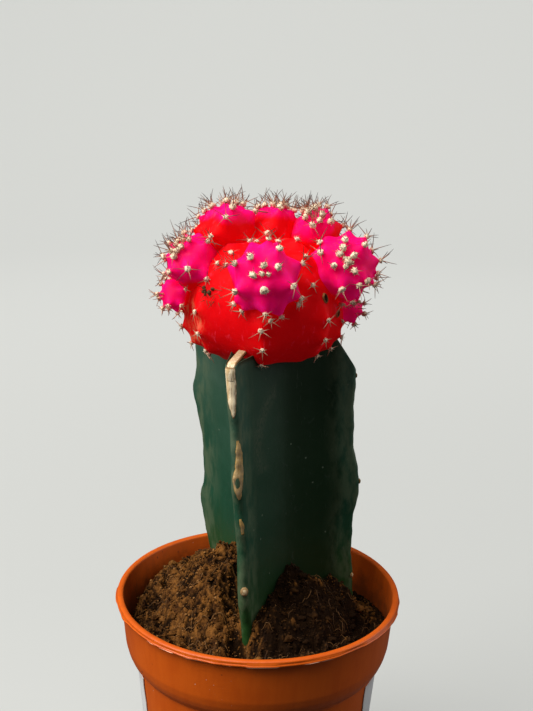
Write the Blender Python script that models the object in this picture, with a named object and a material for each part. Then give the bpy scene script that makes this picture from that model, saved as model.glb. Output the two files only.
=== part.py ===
"""Potted moon cactus: a red grafted cactus with a crowd of small offsets, growing on a
three-winged green rootstock in a thin nursery pot filled with potting mix.

Lengths below are in millimetres and are turned into metres when a mesh is made.
X is to the right, Y to the back, Z up; the origin is the middle of the pot's base.
A bearing is an angle around the plant in degrees, 0 at the front and growing to the right.
"""
import math

import bmesh
import bpy
from mathutils import Vector

MM = 0.001
GAP = 0.3                      # clear space left between one piece and the next

# Pot: (radius, height) down the outside from the axis, then up to the lip and back down the inside.
POT_SEGMENTS = 48
POT_OUTSIDE = (
    (0.0, 0.0), (19.9, 0.0), (20.3, 0.4), (23.55, 36.0), (23.75, 36.4), (24.3, 37.0), (24.9, 37.8),
    (25.4, 39.0), (25.8, 40.6), (26.55, 48.7), (27.3, 48.8), (27.5, 49.0), (27.5, 49.25),
    (27.3, 49.4), (27.35, 49.85), (27.15, 50.0),
)
POT_INSIDE = (
    (26.4, 50.0), (26.15, 49.8), (25.3, 40.7), (24.9, 39.2), (24.45, 38.15), (23.85, 37.35),
    (23.3, 36.8), (23.0, 36.1), (19.8, 1.2), (19.3, 0.9), (0.0, 0.9),
)
DRAIN_HOLES = 6
DRAIN_CIRCLE = 13.0
DRAIN_RADIUS = 2.5

# Plain adhesive label wrapped round the back of the pot, under the collar.
LABEL_FROM = -67.0
LABEL_TO = -297.0
LABEL_STEPS = 30
LABEL_LOW = 11.0
LABEL_HIGH = 35.4
LABEL_THICK = 0.2

# Rootstock: three thin wings. Each has (height, radius) down its edge.
STEM_LEVELS = (
    23.0, 25.0, 28.5, 33.0, 38.0, 43.0, 47.0, 50.0, 54.0, 58.5, 63.5, 67.0, 71.0, 74.0,
    77.5, 82.0, 86.0, 90.0, 94.0, 98.0, 103.0,
)
STEM_TOP = 100.4
STEM_TIP_HALF = 1.05
STEM_VALLEY = 5.8
STEM_BURIED = ((23.0, 0.10), (25.0, 0.25), (28.5, 0.45), (33.0, 0.66), (38.0, 0.82), (43.0, 0.93), (47.0, 1.0))
STEM_LEAN = ((20.0, 1.9), (45.0, 1.9), (105.0, -0.5))
WINGS = (
    # bearing low, bearing high, edge radius by height
    (-12.5, -18.0, ((45.0, 17.2), (50.0, 17.4), (58.0, 18.2), (63.5, 17.7), (74.0, 17.9), (79.0, 18.4),
                    (86.0, 17.9), (94.0, 18.2), (103.0, 18.1))),
    (104.0, 104.0, ((47.0, 17.6), (54.0, 17.3), (58.5, 17.3), (63.5, 17.7), (68.6, 18.7), (71.0, 18.9),
                    (74.0, 18.5), (77.5, 17.9), (82.0, 17.8), (89.0, 18.0), (94.0, 18.3), (103.0, 18.3))),
    (-136.0, -136.0, ((47.0, 15.0), (50.0, 15.6), (58.0, 17.2), (63.5, 18.4), (68.0, 17.3), (77.5, 17.2),
                      (82.0, 18.3), (86.0, 19.5), (90.0, 18.5), (94.0, 18.1), (103.0, 18.0))),
)
# Slanted cuts across the wing tops: bearing, a point (radius, height) and how far it rises per mm inwards.
STEM_BEVELS = ((104.0, 18.3, 93.4, 1.5), (-136.0, 18.0, 95.2, 1.5), (-17.0, 18.0, 99.8, 0.5))
# Roots: bearing, start height, reach and end height.
ROOTS = ((-70.0, 34.0, 15.5, 12.0), (-10.0, 31.0, 13.0, 8.0), (45.0, 33.0, 16.0, 14.0),
         (100.0, 30.0, 14.0, 7.0), (165.0, 34.0, 16.0, 11.0), (-130.0, 30.0, 12.5, 8.5))

# Potting mix: surface height at the wall and extra height of the mound at the stem, by bearing.
SOIL_SEGMENTS = 48
SOIL_EDGE = ((-180.0, 45.5), (-150.0, 48.2), (-120.0, 47.6), (-90.0, 45.2), (-45.0, 46.4), (0.0, 46.6),
             (45.0, 46.0), (90.0, 43.0), (130.0, 41.4), (155.0, 42.8), (180.0, 45.5))
SOIL_MOUND = ((-180.0, 8.5), (-136.0, 6.0), (-105.0, 11.0), (-76.0, 14.5), (-40.0, 12.0), (-16.0, 5.0),
              (0.0, 7.0), (40.0, 9.5), (62.0, 12.5), (80.0, 10.5), (104.0, 6.0), (164.0, 9.0), (180.0, 8.5))
SOIL_RINGS = (24.2, 22.0, 19.0, 16.0, 13.0, 10.0, 7.0, 3.5)
SOIL_FLOOR = 1.3

# Heads: name, centre, direction of growth, radius, ribs, areoles per rib, spin about that direction.
SCION = ("scion_head", (0.25, 0.0, 108.4), (0.0, 0.0, 1.0), 13.3, 8, 7, 90.0)
OFFSETS = (
    ("offset_front", (0.2, -12.2, 114.3), (0.0, -0.93, 0.37), 5.5, 8, 4, 12.0),
    ("offset_left", (-12.2, -3.2, 115.0), (-0.66, -0.30, 0.69), 4.6, 7, 4, 5.0),
    ("offset_left_low", (-15.5, -2.6, 109.0), (-0.90, -0.38, 0.15), 2.7, 6, 3, 20.0),
    ("offset_top_left", (-6.5, -0.8, 119.3), (0.02, 0.16, 0.99), 5.0, 8, 4, 0.0),
    ("offset_top", (1.8, 1.4, 119.6), (0.05, 0.18, 0.98), 4.3, 7, 4, 10.0),
    ("offset_top_right", (8.9, 0.2, 119.2), (-0.05, -0.50, 0.86), 4.4, 8, 4, 15.0),
    ("offset_right", (13.9, -4.4, 115.0), (0.28, -0.87, 0.40), 5.3, 8, 4, 0.0),
    ("offset_right_low", (15.3, -0.8, 106.6), (0.86, -0.48, -0.15), 2.4, 6, 3, 0.0),
    ("offset_back_left", (-8.0, 9.6, 115.4), (-0.52, 0.72, 0.46), 4.6, 7, 4, 0.0),
    ("offset_back_right", (8.4, 10.0, 114.6), (0.42, 0.80, 0.43), 4.9, 8, 4, 20.0),
    ("offset_back_low", (-13.6, 6.4, 107.0), (-0.84, 0.52, 0.10), 2.6, 6, 3, 0.0),
)
TUFT_SPINES = 7
TUFT_SPINE_LENGTH = 2.5

COLOURS = {
    "pot": (0.52, 0.13, 0.035), "label": (0.86, 0.86, 0.84), "soil": (0.045, 0.025, 0.012),
    "rootstock": (0.012, 0.055, 0.028), "scion": (0.72, 0.006, 0.012), "offset": (0.80, 0.006, 0.14),
    "tuft": (0.62, 0.42, 0.26),
}
ROUGHNESS = {"pot": 0.4, "label": 0.7, "soil": 0.95, "rootstock": 0.45, "scion": 0.4, "offset": 0.4, "tuft": 0.9}


def clear_scene():
    for obj in list(bpy.data.objects):
        bpy.data.objects.remove(obj, do_unlink=True)


def material(kind):
    found = bpy.data.materials.get(kind)
    if found:
        return found
    mat = bpy.data.materials.new(kind)
    mat.use_nodes = True
    shader = mat.node_tree.nodes["Principled BSDF"]
    shader.inputs["Base Color"].default_value = (*COLOURS[kind], 1.0)
    shader.inputs["Roughness"].default_value = ROUGHNESS[kind]
    return mat


def make_object(name, kind, points, faces):
    """One closed solid from points in millimetres, with its faces turned outwards."""
    mesh = bpy.data.meshes.new(name)
    mesh.from_pydata([Vector(p) * MM for p in points], [], faces)
    bm = bmesh.new()
    bm.from_mesh(mesh)
    bmesh.ops.recalc_face_normals(bm, faces=bm.faces)
    bm.to_mesh(mesh)
    bm.free()
    mesh.materials.append(material(kind))
    obj = bpy.data.objects.new(name, mesh)
    bpy.context.scene.collection.objects.link(obj)
    return obj


def combine(obj, other, operation):
    """Apply an exact boolean with the other object, which is then thrown away."""
    modifier = obj.modifiers.new("cut", "BOOLEAN")
    modifier.operation = operation
    modifier.solver = "EXACT"
    modifier.object = other
    graph = bpy.context.evaluated_depsgraph_get()
    mesh = bpy.data.meshes.new_from_object(obj.evaluated_get(graph))
    obj.modifiers.clear()
    old = obj.data
    obj.data = mesh
    bpy.data.meshes.remove(old)
    bpy.data.objects.remove(other, do_unlink=True)
    tidy(obj)


def tidy(obj):
    """Weld stray points, drop slivers and triangulate, so that every face is flat."""
    bm = bmesh.new()
    bm.from_mesh(obj.data)
    bmesh.ops.remove_doubles(bm, verts=bm.verts, dist=0.01 * MM)
    bmesh.ops.dissolve_degenerate(bm, edges=bm.edges, dist=0.005 * MM)
    bmesh.ops.triangulate(bm, faces=bm.faces)
    bm.to_mesh(obj.data)
    bm.free()


def between(table, x):
    """Straight-line reading of a table of (x, y) pairs, held level past both ends."""
    if x <= table[0][0]:
        return table[0][1]
    for (x0, y0), (x1, y1) in zip(table, table[1:]):
        if x <= x1:
            return y0 + (y1 - y0) * (x - x0) / (x1 - x0)
    return table[-1][1]


def at_bearing(bearing, radius, height=0.0):
    a = math.radians(bearing)
    return Vector((radius * math.sin(a), -radius * math.cos(a), height))


def rough(i, j):
    """A repeatable number from -1 to 1 for a pair of whole numbers."""
    value = math.sin(i * 12.9898 + j * 78.233) * 43758.5453
    return 2.0 * (value - math.floor(value)) - 1.0


def bridge(faces, low, high, count):
    """Quads between two rings of the same count, given the first index of each."""
    for i in range(count):
        k = (i + 1) % count
        faces.append((low + i, low + k, high + k, high + i))


def revolve(name, kind, profile, segments):
    """Turn a profile that starts and ends on the axis."""
    points = [(0.0, 0.0, profile[0][1])]
    faces = []
    rings = []
    for radius, height in profile[1:-1]:
        rings.append(len(points))
        for i in range(segments):
            points.append(at_bearing(360.0 * i / segments, radius, height))
    last = len(points)
    points.append((0.0, 0.0, profile[-1][1]))
    for low, high in zip(rings, rings[1:]):
        bridge(faces, low, high, segments)
    for i in range(segments):
        k = (i + 1) % segments
        faces.append((0, rings[0] + k, rings[0] + i))
        faces.append((last, rings[-1] + i, rings[-1] + k))
    return make_object(name, kind, points, faces)


def build_pot():
    pot = revolve("pot", "pot", POT_OUTSIDE + POT_INSIDE, POT_SEGMENTS)
    for k in range(DRAIN_HOLES):
        middle = at_bearing(360.0 * k / DRAIN_HOLES + 30.0, DRAIN_CIRCLE)
        combine(pot, tube("drill", "pot", [middle + Vector((0, 0, -1.0)), middle + Vector((0, 0, 2.0))],
                          [DRAIN_RADIUS, DRAIN_RADIUS], 16), "DIFFERENCE")
    return pot


def tube(name, kind, path, radii, sides):
    """A round bar along a path of points, closed at both ends."""
    points = []
    faces = []
    for n, (centre, radius) in enumerate(zip(path, radii)):
        along = path[min(n + 1, len(path) - 1)] - path[max(n - 1, 0)]
        turn = along.to_track_quat("Z", "Y")
        for i in range(sides):
            a = 2.0 * math.pi * i / sides
            points.append(centre + turn @ Vector((radius * math.cos(a), radius * math.sin(a), 0.0)))
        if n:
            bridge(faces, (n - 1) * sides, n * sides, sides)
    faces.append(tuple(range(sides - 1, -1, -1)))
    faces.append(tuple(range(len(points) - sides, len(points))))
    return make_object(name, kind, points, faces)


def build_label():
    """A thin curved strip that follows the taper of the pot's body."""
    slope = (POT_OUTSIDE[3][0] - POT_OUTSIDE[2][0]) / (POT_OUTSIDE[3][1] - POT_OUTSIDE[2][1])
    points = []
    faces = []
    for i in range(LABEL_STEPS + 1):
        bearing = LABEL_FROM + (LABEL_TO - LABEL_FROM) * i / LABEL_STEPS
        for height, lift in ((LABEL_LOW, GAP), (LABEL_HIGH, GAP), (LABEL_HIGH, GAP + LABEL_THICK),
                             (LABEL_LOW, GAP + LABEL_THICK)):
            radius = POT_OUTSIDE[2][0] + slope * (height - POT_OUTSIDE[2][1]) + lift
            points.append(at_bearing(bearing, radius, height))
        if i:
            bridge(faces, 4 * i - 4, 4 * i, 4)
    faces.append((0, 1, 2, 3))
    faces.append(tuple(4 * LABEL_STEPS + k for k in (3, 2, 1, 0)))
    obj = make_object("label", "label", points, faces)
    tidy(obj)
    return obj


def stem_ring(height, grow):
    """The three-winged outline of the rootstock at one height."""
    buried = between(STEM_BURIED, height)
    axis_x = between(STEM_LEAN, height)
    share = min(max((height - 45.0) / 58.0, 0.0), 1.0)
    bearings = [low + (high - low) * share for low, high, _ in WINGS]
    radii = [between(edge, height) * buried + grow for _, _, edge in WINGS]
    half = STEM_TIP_HALF * min(1.0, 0.35 + buried) + grow
    valley = STEM_VALLEY * min(1.0, 0.2 + buried) * min(1.0, buried * 1.6) + grow
    ring = []
    for k in range(3):
        here = bearings[k]
        following = bearings[(k + 1) % 3] + (360.0 if bearings[(k + 1) % 3] < here else 0.0)
        turn = math.radians(following - here) / 2.0
        for inwards, side in ((0.35, -0.8), (0.0, -0.3), (0.0, 0.3), (0.35, 0.8)):
            ring.append((here, radii[k] - inwards * half * 1.6, side * half))
        ring += [(here, u, h) for u, h in flank(radii[k], half, valley, turn)]
        ring.append((here + math.degrees(turn), valley, 0.0))
        back = flank(radii[(k + 1) % 3], half, valley, turn)
        ring += [(following, u, -h) for u, h in reversed(back)]
    points = []
    for bearing, out, side in ring:
        points.append(at_bearing(bearing, out, height) + at_bearing(bearing + 90.0, side)
                      + Vector((axis_x, 0.0, 0.0)))
    return points


def flank(radius, half, valley, turn):
    """Hollow side of a wing, from beside its edge to just short of the valley."""
    start = Vector((radius - half * 0.9, half))
    end = Vector((valley * math.cos(turn), valley * math.sin(turn)))
    reach = (end - start).length
    leave = Vector((-1.0, 0.10)) * reach
    arrive = Vector((-math.sin(turn), math.cos(turn))) * reach * 0.55
    out = []
    for t in (0.0, 0.28, 0.55, 0.8):
        a, b = 2 * t ** 3 - 3 * t ** 2 + 1, t ** 3 - 2 * t ** 2 + t
        c, d = -2 * t ** 3 + 3 * t ** 2, t ** 3 - t ** 2
        point = a * start + b * leave + c * end + d * arrive
        out.append((point.x, point.y))
    return out


def build_stem(name, grow):
    points = []
    faces = []
    for n, height in enumerate(STEM_LEVELS):
        level = height - grow if n == 0 else height
        ring = stem_ring(height, grow)
        points += [Vector((p.x, p.y, level)) for p in ring]
        if n:
            bridge(faces, (n - 1) * len(ring), n * len(ring), len(ring))
    faces.append(tuple(range(len(ring) - 1, -1, -1)))
    faces.append(tuple(range(len(points) - len(ring), len(points))))
    stem = make_object(name, "rootstock", points, faces)
    tidy(stem)
    slice_off(stem, Vector((0, 0, STEM_TOP + grow)), Vector((0, 0, 1)))
    for bearing, radius, height, rise in STEM_BEVELS:
        normal = (at_bearing(bearing, rise) + Vector((0, 0, 1))).normalized()
        foot = at_bearing(bearing, radius, height) + Vector((between(STEM_LEAN, height), 0, 0))
        slice_off(stem, foot + normal * grow, normal)
    for bearing, start, reach, end in ROOTS:
        combine(stem, build_root(bearing, start, reach, end, grow), "UNION")
    return stem


def slice_off(obj, point, normal):
    """Remove everything on the far side of a plane and close the cut."""
    bm = bmesh.new()
    bm.from_mesh(obj.data)
    geometry = list(bm.verts) + list(bm.edges) + list(bm.faces)
    bmesh.ops.bisect_plane(bm, geom=geometry, dist=0.02 * MM, plane_co=point * MM, plane_no=normal,
                           clear_outer=True)
    open_edges = [e for e in bm.edges if e.is_boundary]
    bmesh.ops.contextual_create(bm, geom=open_edges)
    bmesh.ops.recalc_face_normals(bm, faces=bm.faces)
    bm.to_mesh(obj.data)
    bm.free()
    tidy(obj)


def build_root(bearing, start, reach, end, grow):
    """A tapering root that bends down and outwards."""
    path = []
    radii = []
    for t in (0.0, 0.25, 0.5, 0.75, 1.0):
        swing = 9.0 * math.sin(3.0 * t + bearing)
        path.append(at_bearing(bearing + swing, 1.5 + (reach - 1.5) * t ** 0.8, start + (end - start) * t ** 1.2)
                    + Vector((1.9, 0.0, 0.0)))
        radii.append(1.35 - 0.8 * t + grow)
    return tube("root", "rootstock", path, radii, 6)


def soil_height(bearing, radius):
    share = min(max((19.5 - radius) / 12.5, 0.0), 1.0)
    lift = between(SOIL_MOUND, bearing) * share * (1.6 - 0.6 * share)
    edge_drop = 1.2 * max(radius - 22.0, 0.0) / 2.2 if bearing < -60.0 else 0.0
    return between(SOIL_EDGE, bearing) + lift - edge_drop


def build_soil():
    """Potting mix that fills the pot, mounded round the stem, with the buried part of the stem left out."""
    wall = [(r - GAP - 0.1, z) for r, z in POT_INSIDE[2:9]]
    wall.append((POT_INSIDE[8][0] - GAP - 0.1, SOIL_FLOOR))
    wall[-2] = (POT_INSIDE[8][0] - GAP, SOIL_FLOOR + 2.0)
    slope = (POT_INSIDE[1][0] - POT_INSIDE[2][0]) / (POT_INSIDE[1][1] - POT_INSIDE[2][1])
    points = []
    faces = []
    bearings = [-180.0 + 360.0 * i / SOIL_SEGMENTS for i in range(SOIL_SEGMENTS)]
    for n, radius in enumerate(SOIL_RINGS):
        for i, bearing in enumerate(bearings):
            height = soil_height(bearing, radius) + 0.35 * rough(i, n)
            reach = radius
            if n == 0:
                reach = POT_INSIDE[2][0] + slope * (height - POT_INSIDE[2][1]) - GAP - 0.1
            points.append(at_bearing(bearing, reach, height))
    for radius, height in wall:
        points += [at_bearing(bearing, radius, height) for bearing in bearings]
    top_rings = len(SOIL_RINGS)
    for n in range(top_rings - 1):
        bridge(faces, n * SOIL_SEGMENTS, (n + 1) * SOIL_SEGMENTS, SOIL_SEGMENTS)
    order = [0] + [top_rings + n for n in range(len(wall))]
    for upper, lower in zip(order, order[1:]):
        bridge(faces, upper * SOIL_SEGMENTS, lower * SOIL_SEGMENTS, SOIL_SEGMENTS)
    inner = (top_rings - 1) * SOIL_SEGMENTS
    bottom = order[-1] * SOIL_SEGMENTS
    points.append((0.0, 0.0, 58.0))
    points.append((0.0, 0.0, SOIL_FLOOR))
    for i in range(SOIL_SEGMENTS):
        k = (i + 1) % SOIL_SEGMENTS
        faces.append((inner + i, inner + k, len(points) - 2))
        faces.append((bottom + k, bottom + i, len(points) - 1))
    soil = make_object("soil", "soil", points, faces)
    tidy(soil)
    combine(soil, build_stem("space", GAP), "DIFFERENCE")
    return soil


def head_radius(spec, polar, turn):
    """Distance from a head's centre to its skin; ribs run from the crown and carry a nub at each areole."""
    _, _, _, radius, ribs, areoles, _ = spec
    ridge = (0.5 + 0.5 * math.cos(ribs * turn)) ** 1.2
    step = areole_step(spec)
    nub = 0.5 + 0.5 * math.cos(2.0 * math.pi * (polar / step - 0.5))
    fade = min(1.0, math.sin(min(polar, math.pi / 2)) * 1.8)
    if spec is SCION:
        shape = squashed(polar)
        return radius * shape * (1.0 + 0.075 * (ridge - 0.3) * fade + 0.045 * ridge * (nub - 0.4) * fade)
    dimple = 0.06 * max(0.0, 1.0 - polar / 0.35)
    return radius * (1.0 - dimple + 0.15 * (ridge - 0.4) * fade + 0.10 * ridge * (nub - 0.4) * fade)


def areole_step(spec):
    """Angle between one areole and the next down a rib; the first sits half a step from the crown."""
    return math.radians(20.0 if spec is SCION else 32.0 if spec[5] > 3 else 40.0)


def squashed(polar):
    """Outline of the large head: nearly round above, fuller and flatter below."""
    if polar <= math.pi / 2:
        high, power = 0.86, 2.2
    else:
        high, power = 0.86, 2.7
    across = abs(math.sin(polar)) ** power
    along = (abs(math.cos(polar)) / high) ** power
    return (across + along) ** (-1.0 / power)


def build_head(name, kind, spec, grow=0.0):
    _, centre, axis, _, ribs, _, spin = spec
    columns = ribs * (5 if spec is SCION else 3)
    step = areole_step(spec) / 2.0
    rows = int(math.radians(158.0) / step)
    turn = Vector(axis).to_track_quat("Z", "Y")
    points = [Vector((0.0, 0.0, head_radius(spec, 0.0, 0.0) + grow))]
    faces = []
    for n in range(1, rows + 1):
        for i in range(columns):
            a = 2.0 * math.pi * i / columns
            distance = head_radius(spec, n * step, a) + grow
            b = a + math.radians(spin)
            points.append(Vector((math.sin(n * step) * math.cos(b), math.sin(n * step) * math.sin(b),
                                  math.cos(n * step))) * distance)
        if n > 1:
            bridge(faces, 1 + (n - 2) * columns, 1 + (n - 1) * columns, columns)
    points.append(Vector((0.0, 0.0, -head_radius(spec, math.pi, 0.0) - grow)))
    last = 1 + (rows - 1) * columns
    for i in range(columns):
        k = (i + 1) % columns
        faces.append((0, 1 + k, 1 + i))
        faces.append((len(points) - 1, last + i, last + k))
    obj = make_object(name, kind, [Vector(centre) + turn @ p for p in points], faces)
    tidy(obj)
    return obj


def build_scion():
    head = build_head(SCION[0], "scion", SCION)
    combine(head, build_stem("space", GAP), "DIFFERENCE")
    return head


def build_offsets():
    """Each offset is hollowed where it presses on the large head and on the offsets made before it."""
    for n, spec in enumerate(OFFSETS):
        obj = build_head(spec[0], "offset", spec)
        combine(obj, build_head("space", "offset", SCION, GAP), "DIFFERENCE")
        for other in OFFSETS[:n]:
            apart = (Vector(other[1]) - Vector(spec[1])).length
            if apart < (other[3] + spec[3]) * 1.15 + GAP:
                combine(obj, build_head("space", "offset", other, GAP), "DIFFERENCE")


def build_tuft(spec):
    """Felt pad with a whorl of young spines at a growing point, as one solid."""
    name, centre, axis, radius, _, _, spin = spec
    turn = Vector(axis).to_track_quat("Z", "Y")
    seat = head_radius(spec, 0.0, 0.0) + GAP
    pad = 0.20 * radius + 0.3
    sides = TUFT_SPINES
    points = []
    for out, up in ((pad * 0.8, 0.0), (pad, 0.35), (pad * 0.55, 0.9)):
        for i in range(sides):
            a = 2.0 * math.pi * i / sides + math.radians(spin)
            points.append(Vector((out * math.cos(a), out * math.sin(a), seat + up)))
    points.append(Vector((0.0, 0.0, seat + 1.1)))
    faces = [tuple(range(sides - 1, -1, -1))]
    bridge(faces, 0, sides, sides)
    for i in range(sides):
        k = (i + 1) % sides
        faces.append((2 * sides + i, 2 * sides + k, 3 * sides))
        corners = [sides + i, sides + k, 2 * sides + k, 2 * sides + i]
        add_spine(points, faces, corners, TUFT_SPINE_LENGTH * (1.0 + 0.18 * rough(i, int(spin) + 3)))
    placed = [Vector(centre) + turn @ p for p in points]
    obj = make_object(name.replace("offset", "tuft"), "tuft", placed, faces)
    tidy(obj)
    return obj


def add_spine(points, faces, corners, length):
    """Grow one thin spine out of a four-sided patch."""
    middle = sum((points[c] for c in corners), Vector()) / 4.0
    foot = []
    for c in corners:
        foot.append(len(points))
        points.append(middle + (points[c] - middle) * 0.42)
    lean = Vector((middle.x, middle.y, 0.0)).normalized() * 0.62 + Vector((0.0, 0.0, 0.78))
    tip = len(points)
    points.append(middle + lean * length)
    for i in range(4):
        k = (i + 1) % 4
        faces.append((corners[i], corners[k], foot[k], foot[i]))
        faces.append((foot[i], foot[k], tip))


def main():
    clear_scene()
    build_pot()
    build_label()
    build_soil()
    build_stem("rootstock", 0.0)
    build_scion()
    build_offsets()
    for spec in OFFSETS:
        build_tuft(spec)


main()
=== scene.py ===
"""Potted moon cactus: a red grafted cactus with a crowd of young offsets on a green
three-winged rootstock, in a thin nursery pot of potting mix.

Tables are in millimetres and degrees. A bearing turns round the plant from 0 at the front
towards the right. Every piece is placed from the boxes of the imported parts.
"""

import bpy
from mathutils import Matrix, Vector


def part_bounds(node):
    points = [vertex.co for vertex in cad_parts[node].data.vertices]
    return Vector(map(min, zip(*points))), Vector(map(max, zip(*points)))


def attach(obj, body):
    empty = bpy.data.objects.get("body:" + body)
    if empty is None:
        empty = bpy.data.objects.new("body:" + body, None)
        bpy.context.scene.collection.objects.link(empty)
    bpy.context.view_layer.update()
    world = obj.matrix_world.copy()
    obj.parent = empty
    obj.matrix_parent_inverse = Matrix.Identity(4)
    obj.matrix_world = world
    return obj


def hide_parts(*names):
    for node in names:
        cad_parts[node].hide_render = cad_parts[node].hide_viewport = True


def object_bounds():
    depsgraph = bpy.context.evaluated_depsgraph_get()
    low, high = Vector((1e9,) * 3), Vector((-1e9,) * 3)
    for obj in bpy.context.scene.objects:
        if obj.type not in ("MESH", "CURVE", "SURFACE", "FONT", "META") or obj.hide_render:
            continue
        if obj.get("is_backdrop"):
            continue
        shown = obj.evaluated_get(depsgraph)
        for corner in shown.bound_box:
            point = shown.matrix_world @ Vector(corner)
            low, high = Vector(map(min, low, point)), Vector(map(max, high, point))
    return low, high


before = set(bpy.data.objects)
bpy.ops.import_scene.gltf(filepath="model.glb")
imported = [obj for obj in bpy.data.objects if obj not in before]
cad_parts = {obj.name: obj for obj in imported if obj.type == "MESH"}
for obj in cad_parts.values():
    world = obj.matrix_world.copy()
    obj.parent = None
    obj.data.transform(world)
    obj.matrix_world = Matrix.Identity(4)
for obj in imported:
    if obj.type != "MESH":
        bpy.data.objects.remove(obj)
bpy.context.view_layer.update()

import math
import random

import bmesh
import bpy
from bpy.props import FloatProperty, FloatVectorProperty, IntProperty, PointerProperty
from mathutils import Matrix, Vector, noise
import numpy as np

bl_info = {
    "name": "Potted Moon Cactus",
    "version": (1, 0, 0),
    "blender": (4, 5, 0),
    "location": "3D View > Sidebar > Moon Cactus",
    "description": "Builds a grafted moon cactus in a nursery pot, piece by piece",
    "category": "Add Mesh",
}

MM = 0.001
BODY = "root"
PATCH_BACK = -0.35              # how deep under the skin the back of a raised patch lies


# ---------------------------------------------------------------- shapes shared by the pieces

def part_box(node):
    low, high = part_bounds(node)
    return Vector(low), Vector(high)


def placer(node, drawn_low, drawn_high):
    """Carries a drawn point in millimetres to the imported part, in metres."""
    low, high = part_box(node)
    drawn_low, drawn_high = Vector(drawn_low), Vector(drawn_high)
    scale = [(high[i] - low[i]) / (drawn_high[i] - drawn_low[i]) for i in range(3)]

    def place(p):
        return Vector([low[i] + (p[i] - drawn_low[i]) * scale[i] for i in range(3)])
    return place


def at_bearing(bearing, radius, height=0.0):
    a = math.radians(bearing)
    return Vector((radius * math.sin(a), -radius * math.cos(a), height))


def facing(bearing, elevation):
    """Unit vector towards a bearing and an elevation."""
    e = math.radians(elevation)
    return at_bearing(bearing, math.cos(e), math.sin(e))


def straight_reading(table, x):
    if x <= table[0][0]:
        return table[0][1]
    for (x0, y0), (x1, y1) in zip(table, table[1:]):
        if x <= x1:
            return y0 + (y1 - y0) * (x - x0) / (x1 - x0)
    return table[-1][1]


def smooth_reading(table, x):
    """Reading of a table through a smooth curve, held level past both ends."""
    if x <= table[0][0]:
        return table[0][1]
    if x >= table[-1][0]:
        return table[-1][1]
    for n in range(len(table) - 1):
        x0, y0 = table[n]
        x1, y1 = table[n + 1]
        if x <= x1:
            before = table[max(n - 1, 0)]
            after = table[min(n + 2, len(table) - 1)]
            m0 = (y1 - before[1]) / (x1 - before[0]) * (x1 - x0)
            m1 = (after[1] - y0) / (after[0] - x0) * (x1 - x0)
            t = (x - x0) / (x1 - x0)
            return ((2 * t ** 3 - 3 * t ** 2 + 1) * y0 + (t ** 3 - 2 * t ** 2 + t) * m0
                    + (3 * t ** 2 - 2 * t ** 3) * y1 + (t ** 3 - t ** 2) * m1)


def ease(low, high, x):
    t = min(max((x - low) / (high - low), 0.0), 1.0)
    return t * t * (3.0 - 2.0 * t)


def rumble(p, size, octaves=3):
    """Smooth noise between about -1 and 1, with lumps of a given size."""
    return noise.fractal(Vector(p) / size, 1.0, 2.0, octaves)


def ring_faces(faces, low, high, count):
    for i in range(count):
        k = (i + 1) % count
        faces.append((low + i, low + k, high + k, high + i))


def add_tube(points, faces, path, radii, sides):
    """Add a round strand along a path of vectors, closed at its ends; answers with the first index."""
    first = len(points)
    normal = (path[1] - path[0]).normalized().orthogonal()
    for n, (centre, radius) in enumerate(zip(path, radii)):
        along = (path[min(n + 1, len(path) - 1)] - path[max(n - 1, 0)]).normalized()
        normal = (normal - along * normal.dot(along)).normalized()
        across = along.cross(normal)
        for i in range(sides):
            a = 2.0 * math.pi * i / sides
            points.append(centre + (normal * math.cos(a) + across * math.sin(a)) * radius)
        if n:
            ring_faces(faces, first + (n - 1) * sides, first + n * sides, sides)
    faces.append(tuple(first + i for i in range(sides - 1, -1, -1)))
    faces.append(tuple(range(len(points) - sides, len(points))))
    return first


def add_ball_faces(faces, first, ball_faces):
    """Add a ball's faces for points that begin at an index."""
    faces.extend(tuple(first + int(i) for i in face) for face in ball_faces)


def close_sheet(faces, first, rows, across):
    """Faces of a thin sheet whose inner layer of points comes first, then its outer layer, row by row."""
    width = across + 1
    size = (rows + 1) * width

    def at(level, n, s):
        return first + level * size + n * width + s
    for n in range(rows):
        for s in range(across):
            faces.append((at(1, n, s), at(1, n, s + 1), at(1, n + 1, s + 1), at(1, n + 1, s)))
            faces.append((at(0, n, s), at(0, n + 1, s), at(0, n + 1, s + 1), at(0, n, s + 1)))
        faces.append((at(0, n, 0), at(1, n, 0), at(1, n + 1, 0), at(0, n + 1, 0)))
        faces.append((at(0, n, across), at(0, n + 1, across), at(1, n + 1, across), at(1, n, across)))
    for s in range(across):
        faces.append((at(0, 0, s), at(0, 0, s + 1), at(1, 0, s + 1), at(1, 0, s)))
        faces.append((at(0, rows, s), at(1, rows, s), at(1, rows, s + 1), at(0, rows, s + 1)))


def ball(detail):
    """Points and faces of a unit ball of even triangles, as arrays."""
    bm = bmesh.new()
    bmesh.ops.create_icosphere(bm, subdivisions=detail, radius=1.0)
    bm.verts.ensure_lookup_table()
    points = np.array([v.co[:] for v in bm.verts])
    faces = np.array([[v.index for v in f.verts] for f in bm.faces])
    bm.free()
    return points, faces


def turn_outwards(mesh):
    bm = bmesh.new()
    bm.from_mesh(mesh)
    bmesh.ops.recalc_face_normals(bm, faces=bm.faces)
    bm.to_mesh(mesh)
    bm.free()


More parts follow.
